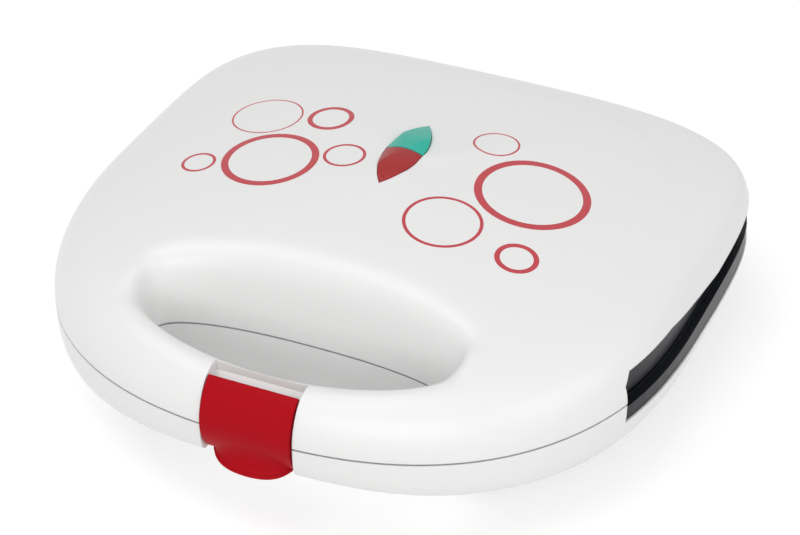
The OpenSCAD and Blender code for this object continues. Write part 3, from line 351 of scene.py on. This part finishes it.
def window_outline(front_h, back_h, chamfer, side):
    """Side profile of a window; side is 1 for the lid and -1 for the base."""
    corner = [(WINDOW_Y, front_h)]
    if chamfer:
        corner = [(WINDOW_Y, front_h - chamfer), (WINDOW_Y + chamfer, front_h)]
    rest = [(WINDOW_TURN_Y, front_h), (WINDOW_BACK_Y, back_h), (FAR, back_h), (FAR, -1), (WINDOW_Y, -1)]
    return [(y, PARTING_H + side * z) for y, z in corner + rest]


def box_outline(x0, x1, y0, y1):
    return [(x0, y0), (x1, y0), (x1, y1), (x0, y1)]


def combine(made, others, operation):
    """Applies boolean modifiers, one piece at a time, and deletes the pieces used."""
    for other in others:
        change = made.modifiers.new("cut", "BOOLEAN")
        change.operation = operation
        change.solver = "MANIFOLD"
        change.object = other
        with bpy.context.temp_override(object=made, active_object=made):
            bpy.context.view_layer.objects.active = made
            bpy.ops.object.modifier_apply(modifier=change.name)
        bpy.data.objects.remove(other, do_unlink=True)
    return made


def smooth(made, angle=32):
    """Shades a piece smooth but for edges that turn by more than an angle in degrees."""
    made.data.polygons.foreach_set("use_smooth", [True] * len(made.data.polygons))
    made.data.set_sharp_from_angle(angle=math.radians(angle))
    return made


def leaf_outline(grow, count=40):
    """The lens's outline, two arcs that meet in points, grown by grow."""
    half_w, half_len = LENS_W / 2 + grow, LENS_LEN / 2 + grow
    r = (half_len**2 + half_w**2) / (2 * half_w)
    reach = math.asin(half_len / r)
    turns = [-reach + 2 * reach * i / count for i in range(count + 1)]
    right = [(half_w - r + r * math.cos(t), LENS_Y + r * math.sin(t)) for t in turns]
    return right + [(-x, y) for x, y in reversed(right[1:-1])]


# ---- Materials ----

# How much the roughness drifts, the grain's octaves, and the samples of an edge's rounded look
ROUGH_DRIFT, GRAIN_DETAIL, EDGE_SAMPLES = 0.08, 3.0, 6


def math_step(tree, operation, *inputs):
    """Adds a maths node whose inputs are numbers or other nodes' outputs."""
    made = tree.nodes.new("ShaderNodeMath")
    made.operation = operation
    for socket, value in zip(made.inputs, inputs):
        if isinstance(value, (int, float)):
            socket.default_value = value
        else:
            tree.links.new(value, socket)
    return made.outputs["Value"]


def add_bump(tree, height, strength, distance):
    """Lifts the look of a surface by another node's output, up to a distance in millimetres."""
    lift = tree.nodes.new("ShaderNodeBump")
    lift.inputs["Strength"].default_value = strength
    lift.inputs["Distance"].default_value = distance * MM
    tree.links.new(height, lift.inputs["Height"])
    tree.links.new(lift.outputs["Normal"], tree.nodes["Principled BSDF"].inputs["Normal"])


def material(name, colour, roughness, metallic=0.0, vary=0.03, grain=400.0, bump=0.0, **extra):
    """A procedural finish: its colour and roughness drift a little, and bump gives it a fine grain."""
    made = bpy.data.materials.new(name)
    made.use_nodes = True
    tree = made.node_tree
    shader = tree.nodes["Principled BSDF"]
    place = tree.nodes.new("ShaderNodeTexCoord")
    noise = tree.nodes.new("ShaderNodeTexNoise")
    noise.inputs["Scale"].default_value = grain
    noise.inputs["Detail"].default_value = GRAIN_DETAIL
    tree.links.new(place.outputs["Object"], noise.inputs["Vector"])
    drift = tree.nodes.new("ShaderNodeMix")
    drift.data_type = "RGBA"
    drift.inputs["A"].default_value = (*[c * (1 - vary) for c in colour], 1)
    drift.inputs["B"].default_value = (*[min(1, c * (1 + vary)) for c in colour], 1)
    tree.links.new(noise.outputs["Fac"], drift.inputs["Factor"])
    tree.links.new(drift.outputs["Result"], shader.inputs["Base Color"])
    rough = tree.nodes.new("ShaderNodeMapRange")
    rough.inputs["To Min"].default_value = roughness * (1 - ROUGH_DRIFT)
    rough.inputs["To Max"].default_value = roughness * (1 + ROUGH_DRIFT)
    tree.links.new(noise.outputs["Fac"], rough.inputs["Value"])
    tree.links.new(rough.outputs["Result"], shader.inputs["Roughness"])
    shader.inputs["Metallic"].default_value = metallic
    for key, value in extra.items():
        shader.inputs[key.replace("_", " ")].default_value = value
    if bump:
        add_bump(tree, noise.outputs["Fac"], 1.0, bump)
    return made


def soften_edges(made, radius):
    """Rounds the look of sharp moulded edges."""
    tree = made.node_tree
    shader = tree.nodes["Principled BSDF"]
    edge = tree.nodes.new("ShaderNodeBevel")
    edge.samples = EDGE_SAMPLES
    edge.inputs["Radius"].default_value = radius * MM
    if shader.inputs["Normal"].links:
        tree.links.new(shader.inputs["Normal"].links[0].from_socket, edge.inputs["Normal"])
    tree.links.new(edge.outputs["Normal"], shader.inputs["Normal"])
    return made


# Printed rings on the lid: (x, y, radius, line width)
RINGS = [
    (-62, 26, 13.5, 0.7),
    (-37, 30, 8.0, 2.0),
    (-46, -4, 17.0, 2.8),
    (-20, 6, 7.5, 1.2),
    (-72, -12, 6.0, 1.2),
    (28, 38, 8.5, 0.8),
    (52, 14, 20.0, 3.0),
    (30, -18, 14.0, 1.3),
    (61, -24, 7.0, 2.0),
]
PRINT_RED = (0.50, 0.035, 0.05)


def print_rings(made):
    """Paints the rings over the colour that the material already has."""
    tree = made.node_tree
    shader = tree.nodes["Principled BSDF"]
    place = tree.nodes["Texture Coordinate"]
    split = tree.nodes.new("ShaderNodeSeparateXYZ")
    flat = tree.nodes.new("ShaderNodeCombineXYZ")
    tree.links.new(place.outputs["Object"], split.inputs["Vector"])
    tree.links.new(split.outputs["X"], flat.inputs["X"])
    tree.links.new(split.outputs["Y"], flat.inputs["Y"])
    mask = 0.0
    for x, y, radius, width in RINGS:
        away = tree.nodes.new("ShaderNodeVectorMath")
        away.operation = "DISTANCE"
        away.inputs[1].default_value = (x * MM, y * MM, 0)
        tree.links.new(flat.outputs["Vector"], away.inputs[0])
        on_line = math_step(tree, "COMPARE", away.outputs["Value"], radius * MM, width * MM / 2)
        mask = math_step(tree, "MAXIMUM", mask, on_line)
    under = shader.inputs["Base Color"].links[0].from_socket
    paint = tree.nodes.new("ShaderNodeMix")
    paint.data_type = "RGBA"
    paint.inputs["B"].default_value = (*PRINT_RED, 1)
    tree.links.new(mask, paint.inputs["Factor"])
    tree.links.new(under, paint.inputs["A"])
    tree.links.new(paint.outputs["Result"], shader.inputs["Base Color"])
    return made


WHITE = (0.80, 0.80, 0.795)
# Look radius of the shells' and the clip's moulded edges, in millimetres
SHELL_EDGE, CLIP_EDGE = 0.5, 0.6


def white_plastic(name):
    return material(name, WHITE, 0.32, vary=0.006, grain=900)


shell_white = soften_edges(white_plastic("shell_white"), SHELL_EDGE)
lid_printed = soften_edges(print_rings(white_plastic("lid_printed")), SHELL_EDGE)
# Painted shade: the shells' inside faces get a dark grey in place of the white plastic's own colour,
# standing in for the shade inside the closed shells
painted_shade_inside = material("painted_shade_inside", (0.16, 0.16, 0.165), 0.5, vary=0.02, grain=900)
clip_red = soften_edges(
    material("clip_red", (0.40, 0.004, 0.010), 0.40, vary=0.03, grain=700, Specular_IOR_Level=0.05),
    CLIP_EDGE,
)
frame_black = material(
    "frame_black", (0.006, 0.007, 0.010), 0.36, vary=0.2, grain=900, Specular_IOR_Level=0.22
)
plate_dark = material("plate_dark", (0.035, 0.035, 0.037), 0.38, vary=0.25, grain=1500, bump=0.02)
tube_steel = material("tube_steel", (0.23, 0.21, 0.19), 0.45, metallic=0.9, vary=0.1, grain=500)
sheet_metal = material("sheet_metal", (0.70, 0.71, 0.72), 0.30, metallic=1.0, vary=0.04, grain=300)
bright_steel = material("bright_steel", (0.60, 0.60, 0.62), 0.25, metallic=1.0, vary=0.05, grain=900)
rubber = material("rubber", (0.018, 0.018, 0.018), 0.75, vary=0.15, grain=1200, bump=0.03)
cream = material("cream", (0.62, 0.60, 0.52), 0.5, vary=0.04, grain=600)
ceramic = material("ceramic", (0.35, 0.30, 0.24), 0.6, vary=0.08, grain=600)
sleeve = material("sleeve", (0.42, 0.10, 0.06), 0.8, vary=0.2, grain=2500, bump=0.05)
lamp_glass = material("lamp_glass", (0.95, 0.85, 0.78), 0.08, vary=0.02, Transmission_Weight=0.9)

# Fine ribs that run across the lens: how close they are, and their look
LENS_RIBS, RIB_STRENGTH, RIB_H = 260, 0.5, 0.1


def lens_material(name, colour):
    made = material(
        name, colour, 0.16, vary=0.05, grain=500, Transmission_Weight=0.35, IOR=1.49, Specular_IOR_Level=0.3
    )
    tree = made.node_tree
    wave = tree.nodes.new("ShaderNodeTexWave")
    wave.bands_direction = "Y"
    wave.inputs["Scale"].default_value = LENS_RIBS
    tree.links.new(tree.nodes["Texture Coordinate"].outputs["Object"], wave.inputs["Vector"])
    add_bump(tree, wave.outputs["Fac"], RIB_STRENGTH, RIB_H)
    return made


lens_green = lens_material("lens_green", (0.005, 0.60, 0.46))
lens_red = lens_material("lens_red", (0.52, 0.008, 0.010))

FINISHES = {
    plate_dark: ["upper_plate", "lower_plate"],
    frame_black: ["upper_frame", "lower_frame", "cord_clamp"],
    tube_steel: ["upper_heater", "lower_heater"],
    sheet_metal: ["upper_reflector", "lower_reflector"],
    bright_steel: [
        "upper_plate_screws", "lower_plate_screws", "lid_screws", "base_screws",
        "lamp_holder_screws", "cord_clamp_screws", "clip_pin", "hinge_pins",
    ],
    rubber: ["rubber_feet", "cord_gland"],
    cream: ["lamp_holder", "terminal_block"],
    ceramic: ["thermal_fuse", "thermostat"],
    sleeve: ["lid_leads", "base_leads"],
    lamp_glass: ["neon_lamps"],
    lens_green: ["green_lens"],
    lens_red: ["red_lens"],
}
for finish, names in FINISHES.items():
    for name in names:
        for place in nodes[name].material_slots:
            place.material = finish

# ---- Lid shell ----

# Heights over the parting plane
LENS_HOLE_FOOT, LENS_HOLE_TOP = 28.0, 60.0
BOSS_R, BOSS_FOOT, BOSS_TOP = 3.2, 4.3, 15.5
# The ledge in the notch behind the clip: its foot, its top at the front and back, and its length
LEDGE_FOOT, LEDGE_FRONT_TOP, LEDGE_BACK_TOP, LEDGE_LEN = 11.4, 11.8, 14.2, 4.2
# How far the ledge reaches into the notch's back wall and side walls
LEDGE_BACK_BITE, LEDGE_SIDE_BITE = 0.5, 0.3


def shell_prism(name, outline, lo, hi, axis):
    """A prism with the shells' slots, so that it can join or cut a shell."""
    return add_slots(prism(name, outline, lo, hi, axis), CUT)


def shell_post(name, spot, r, lo, hi):
    return shell_prism(name, circle(*spot, r), lo, hi, 2)


def notch_cutter(depth):
    outline = box_outline(-NOTCH_HALF_W, NOTCH_HALF_W, -FAR, FRONT_Y + depth)
    return shell_prism("notch", outline, -FAR, FAR, 2)


def notch_ledge():
    back = FRONT_Y + LID_NOTCH + LEDGE_BACK_BITE
    front = FRONT_Y + LID_NOTCH - LEDGE_LEN
    side = [(back, LEDGE_BACK_TOP), (front, LEDGE_FRONT_TOP), (front, LEDGE_FOOT), (back, LEDGE_FOOT)]
    half = NOTCH_HALF_W + LEDGE_SIDE_BITE
    return shell_prism("ledge", [(y, PARTING_H + z) for y, z in side], -half, half, 0)


def lid_posts():
    foot, top = PARTING_H + BOSS_FOOT, PARTING_H + BOSS_TOP
    return [shell_post("boss", spot, BOSS_R, foot, top) for spot in SCREW_SPOTS]


def lid_openings():
    window = window_outline(WINDOW_UP, WINDOW_BACK_UP, WINDOW_CHAMFER, 1)
    foot, top = PARTING_H + LENS_HOLE_FOOT, PARTING_H + LENS_HOLE_TOP
    return [
        shell_prism("window", window, -FAR, FAR, 0),
        shell_prism("lens_hole", leaf_outline(ROOM), foot, top, 2),
    ]


lid = shell_skin("lid_skin", True)
combine(lid, lid_openings(), "DIFFERENCE")
combine(lid, [notch_lining(True, LID_NOTCH)] + lid_posts(), "UNION")
combine(lid, [notch_cutter(LID_NOTCH)], "DIFFERENCE")
combine(lid, [notch_ledge()], "UNION")
smooth(lid)
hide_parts("lid_shell")
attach(lid, "lid")

# ---- Base shell ----

# Feet and their bosses, with heights over the table and drops below the parting plane
FOOT_R, FOOT_H = 8.5, 5.0
FOOT_BOSS_R, FOOT_BOSS_FOOT, FOOT_BOSS_DROP, FOOT_CORE_DROP = 10.5, 3.5, 26.0, 20.0
# Screws' bosses, the cups below them that take the screws' heads, and the screws' holes
SCREW_BOSS_R, SCREW_BOSS_FOOT_DROP, SCREW_BOSS_TOP_DROP = 5.0, 15.0, 8.2
SCREW_CUP_R, SCREW_CUP_DROP = 3.4, 10.3
SCREW_WAY_R, SCREW_WAY_DROP = 1.6, 5.0


def gland_cylinder(name, r, from_y, to_y):
    return shell_prism(name, circle(0, PARTING_H - GLAND_DROP, r), from_y, to_y, 1)


def base_posts():
    made = []
    for spot in FOOT_SPOTS:
        top = PARTING_H - FOOT_BOSS_DROP
        made.append(shell_post("foot_boss", spot, FOOT_BOSS_R, FOOT_BOSS_FOOT, top))
    for spot in SCREW_SPOTS:
        foot, top = PARTING_H - SCREW_BOSS_FOOT_DROP, PARTING_H - SCREW_BOSS_TOP_DROP
        made.append(shell_post("screw_boss", spot, SCREW_BOSS_R, foot, top))
    return made + [gland_cylinder("collar", COLLAR_R, GLAND_Y - COLLAR_LEN, GLAND_Y)]


def base_holes():
    core_r, core_foot, core_top = FOOT_BOSS_R - WALL, FOOT_H + WALL, PARTING_H - FOOT_CORE_DROP
    cup_top, way_top = PARTING_H - SCREW_CUP_DROP, PARTING_H - SCREW_WAY_DROP
    collar_end = GLAND_Y - COLLAR_LEN
    made = [shell_post("foot_seat", spot, FOOT_R + ROOM, 0, FOOT_H) for spot in FOOT_SPOTS]
    made += [shell_post("foot_core", spot, core_r, core_foot, core_top) for spot in FOOT_SPOTS]
    made += [shell_post("screw_cup", spot, SCREW_CUP_R, 0, cup_top) for spot in SCREW_SPOTS]
    made += [shell_post("screw_way", spot, SCREW_WAY_R, 0, way_top) for spot in SCREW_SPOTS]
    return made + [
        gland_cylinder("gland_way", GLAND_R, collar_end - PAST, GLAND_Y + PAST),
        gland_cylinder("gland_face", FLANGE_R + ROOM, GLAND_Y, GLAND_Y + COLLAR_LEN),
        gland_cylinder("gland_back", FLANGE_LIP_R + ROOM, collar_end - FLANGE_T - PAST, collar_end),
    ]


base = shell_skin("base_skin", False)
base.data.materials[OUTSIDE] = shell_white
window = window_outline(WINDOW_DOWN, WINDOW_BACK_DOWN, 0, -1)
combine(base, [shell_prism("window", window, -FAR, FAR, 0)], "DIFFERENCE")
combine(base, [notch_lining(False, BASE_NOTCH)] + base_posts(), "UNION")
combine(base, [notch_cutter(BASE_NOTCH)] + base_holes(), "DIFFERENCE")
smooth(base)
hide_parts("base_shell")
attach(base, "base")

# ---- Clip ----


def arc_points(r, from_angle, to_angle, count):
    """Side-view points of an arc about the clip's middle; angle 0 points forward and up is positive."""
    turns = np.radians(np.linspace(from_angle, to_angle, count))
    return [(CLIP_Y - r * math.cos(a), PARTING_H + CLIP_Z + r * math.sin(a)) for a in turns]


def loft(name, sections, places):
    """A closed skin through side-view sections that stand at places along X."""
    n = len(sections[0])
    points = [(x, y, z) for x, section in zip(places, sections) for y, z in section]
    faces = [tuple(range(n)), tuple(len(points) - 1 - i for i in range(n))]
    for s in range(len(sections) - 1):
        for i in range(n):
            k = (i + 1) % n
            faces.append((s * n + i, s * n + k, (s + 1) * n + k, (s + 1) * n + i))
    return face_out(mesh_object(name, points, faces))


HOOK_R = CLIP_T / 2
FOOT_Y = CLIP_Y - (CLIP_R - HOOK_R) * math.cos(math.radians(CLIP_LOW))
LIP_Z = PARTING_H + CLIP_Z - TAB_DROP
# The scoop over the tab: where it starts at the middle, how far it falls to the sides, its depth, and
# how much it sags downwards for each millimetre that it goes in
SCOOP_TOP, SCOOP_FALL, SCOOP_DEPTH, SCOOP_SAG = -5.3, 7.0, 1.1, 0.4
# How much higher the tab's lip gets at its ends
TAB_LIFT = 2.4
# How far the tab starts inside the clip's face, how far in its lip may end, and how far behind its foot
# its back is
TAB_SINK, TAB_END_IN, TAB_BACK = 0.05, 0.6, 0.4
# Places along the tab, as angles whose sine is a share of its half width
TAB_TURN, TAB_TURN_STEP = 88, 4
SCOOP_STEPS, LIP_STEPS, LIP_TURN_STEP, FACE_POINTS, RIB_POINTS = 12, 12, 15, 64, 12
# How far the hook, ribs and hub end short of the clip's sides, so that no faces coincide
HOOK_SHORT, RIB_SHORT, HUB_SHORT = 0.01, 0.02, 0.03
HUB_WALL, PIN_ROOM = 1.6, 0.05
HUB_R = CLIP_PIN_R + HUB_WALL
PIN_Z = PARTING_H + CLIP_PIN_Z


def tab_section(x):
    share = abs(x) / TAB_HALF_W
    start_z = SCOOP_TOP - SCOOP_FALL * share**2
    lip_z = LIP_Z + TAB_LIFT * share**4
    start_y = CLIP_Y - math.sqrt((CLIP_R - TAB_SINK) ** 2 - (start_z - CLIP_Z) ** 2)
    reach = FOOT_Y - FRONT_Y + TAB_AHEAD
    lip_y = min(FOOT_Y - reach * math.sqrt(max(0, 1 - share**2)), start_y + TAB_END_IN)
    scoop = []
    for i in range(SCOOP_STEPS + 1):
        v = i / SCOOP_STEPS
        sag = SCOOP_DEPTH * math.sin(math.pi * v) * (1 - share**2)
        y = mix(start_y, lip_y, v) + sag
        scoop.append((y, mix(PARTING_H + start_z, lip_z + LIP_R, v) - SCOOP_SAG * sag))
    turns = [math.radians(LIP_TURN_STEP * (i + 1)) for i in range(LIP_STEPS)]
    lip = [(lip_y - LIP_R * math.sin(a), lip_z + LIP_R * math.cos(a)) for a in turns]
    back = FOOT_Y + TAB_BACK
    return scoop + lip + [(back, lip_z - LIP_R), (back, PARTING_H + start_z)]


def clip_face():
    outer = arc_points(CLIP_R, CLIP_TOP, -CLIP_LOW, FACE_POINTS)
    inner = arc_points(CLIP_R - CLIP_T, -CLIP_LOW, CLIP_TOP, FACE_POINTS)
    return prism("clip_skin", outer + inner, -CLIP_W / 2, CLIP_W / 2, 0)


def clip_hook():
    z = PARTING_H + CLIP_Z - (CLIP_R - HOOK_R) * math.sin(math.radians(CLIP_LOW))
    half = CLIP_W / 2 - HOOK_SHORT
    return prism("hook", circle(FOOT_Y, z, HOOK_R), -half, half, 0)


def clip_tab():
    turns = range(-TAB_TURN, TAB_TURN + 1, TAB_TURN_STEP)
    places = [TAB_HALF_W * math.sin(math.radians(a)) for a in turns]
    return loft("tab", [tab_section(x) for x in places], places)


def clip_rib(side):
    """Side wall between the clip's face and its hub."""
    r = CLIP_R - CLIP_T / 2
    ends = [math.degrees(math.asin((CLIP_PIN_Z + s * HUB_R - CLIP_Z) / r)) for s in (1, -1)]
    turns = [math.radians(a) for a in range(0, 181, LIP_TURN_STEP)]
    round_hub = [(CLIP_PIN_Y + HUB_R * math.sin(a), PIN_Z - HUB_R * math.cos(a)) for a in turns]
    x = sorted((side * (CLIP_W / 2 - RIB_SHORT), side * (CLIP_W / 2 - CLIP_T)))
    return prism("rib", arc_points(r, *ends, RIB_POINTS) + round_hub, *x, 0)


def clip_hub():
    half = CLIP_W / 2 - HUB_SHORT
    return prism("hub", circle(CLIP_PIN_Y, PIN_Z, HUB_R), -half, half, 0)


clip = clip_face()
combine(clip, [clip_hook(), clip_tab(), clip_rib(-1), clip_rib(1), clip_hub()], "UNION")
bore = prism("bore", circle(CLIP_PIN_Y, PIN_Z, CLIP_PIN_R + PIN_ROOM), -CLIP_W, CLIP_W, 0)
combine(clip, [bore], "DIFFERENCE")
clip.data.materials.clear()
clip.data.materials.append(clip_red)
smooth(clip, angle=40)
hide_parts("latch_clip")
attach(clip, "clip")

# ---- Floor, light and camera ----

# The floor's colour, and what it adds where the camera or a gloss sees it, so that it looks white
FLOOR_GREY, FLOOR_GLOW, FLOOR_REACH = 0.80, 0.36, 3.0
# The world's strength, as a light and where it is seen
FILL, SEEN_FILL = 0.55, 1.0
# Softboxes: name, place in metres, width and height in metres, power in watts
SOFTBOXES = [
    ("key", (-0.45, -0.35, 1.5), (1.6, 1.2), 8.0),
    ("front", (0.45, -1.8, 0.8), (1.8, 0.9), 12.0),
    ("side", (1.6, -0.2, 0.8), (1.4, 1.0), 6.0),
]
AIM = Vector((0, 0, 0.05))


def floor_material():
    made = bpy.data.materials.new("floor")
    made.use_nodes = True
    tree = made.node_tree
    tree.nodes.clear()
    out = tree.nodes.new("ShaderNodeOutputMaterial")
    matt = tree.nodes.new("ShaderNodeBsdfDiffuse")
    matt.inputs["Color"].default_value = (FLOOR_GREY, FLOOR_GREY, FLOOR_GREY, 1)
    glow = tree.nodes.new("ShaderNodeEmission")
    path = tree.nodes.new("ShaderNodeLightPath").outputs
    seen = math_step(tree, "MAXIMUM", path["Is Camera Ray"], path["Is Glossy Ray"])
    tree.links.new(math_step(tree, "MULTIPLY", seen, FLOOR_GLOW), glow.inputs["Strength"])
    both = tree.nodes.new("ShaderNodeAddShader")
    tree.links.new(matt.outputs["BSDF"], both.inputs[0])
    tree.links.new(glow.outputs["Emission"], both.inputs[1])
    tree.links.new(both.outputs["Shader"], out.inputs["Surface"])
    return made


def studio_world():
    """A soft white light that looks white where the camera, a gloss or glass sees it."""
    made = bpy.data.worlds.new("studio")
    made.use_nodes = True
    tree = made.node_tree
    fill = tree.nodes["Background"]
    fill.inputs["Color"].default_value = (1, 1, 1, 1)
    path = tree.nodes.new("ShaderNodeLightPath").outputs
    seen = math_step(tree, "MAXIMUM", path["Is Camera Ray"], path["Is Glossy Ray"])
    seen = math_step(tree, "MAXIMUM", seen, path["Is Transmission Ray"])
    strength = tree.nodes.new("ShaderNodeMapRange")
    strength.inputs["To Min"].default_value = FILL
    strength.inputs["To Max"].default_value = SEEN_FILL
    tree.links.new(seen, strength.inputs["Value"])
    tree.links.new(strength.outputs["Result"], fill.inputs["Strength"])
    return made


def softbox(name, spot, size, power):
    light = bpy.data.lights.new(name, "AREA")
    light.shape = "RECTANGLE"
    light.size, light.size_y = size
    light.energy = power
    made = bpy.data.objects.new(name, light)
    made.location = spot
    made.rotation_euler = (AIM - Vector(spot)).to_track_quat("-Z", "Y").to_euler()
    scene.collection.objects.link(made)


floor_corners = [(x, y, 0) for x, y in box_outline(-FLOOR_REACH, FLOOR_REACH, -FLOOR_REACH, FLOOR_REACH)]
floor = mesh_object("floor", floor_corners, [(0, 1, 2, 3)], scale=1)
floor.data.materials.append(floor_material())

scene = bpy.context.scene
scene.world = studio_world()
for box in SOFTBOXES:
    softbox(*box)

scene.view_settings.view_transform = "Standard"

# The photograph's point of view: two angles, and a distance and a target in millimetres
AZIMUTH, ELEVATION = math.radians(24.02), math.radians(34.72)
DISTANCE, TARGET = 916.15, Vector((8.13, -6.51, 46.0))
FOCAL_PX, WIDTH_PX, SENSOR_W = 2462.0, 800.0, 36.0
VIEW_NEAR, VIEW_FAR = 0.01, 20


def photo_camera():
    away_x = math.sin(AZIMUTH) * math.cos(ELEVATION)
    away_y = -math.cos(AZIMUTH) * math.cos(ELEVATION)
    away = Vector((away_x, away_y, math.sin(ELEVATION)))
    lens = bpy.data.cameras.new("camera")
    lens.sensor_fit = "HORIZONTAL"
    lens.sensor_width = SENSOR_W
    lens.lens = SENSOR_W * FOCAL_PX / WIDTH_PX
    lens.clip_start, lens.clip_end = VIEW_NEAR, VIEW_FAR
    made = bpy.data.objects.new("camera", lens)
    made.location = TARGET * MM + away * (DISTANCE * MM)
    made.rotation_euler = away.to_track_quat("Z", "Y").to_euler()
    scene.collection.objects.link(made)
    return made


scene.camera = photo_camera()
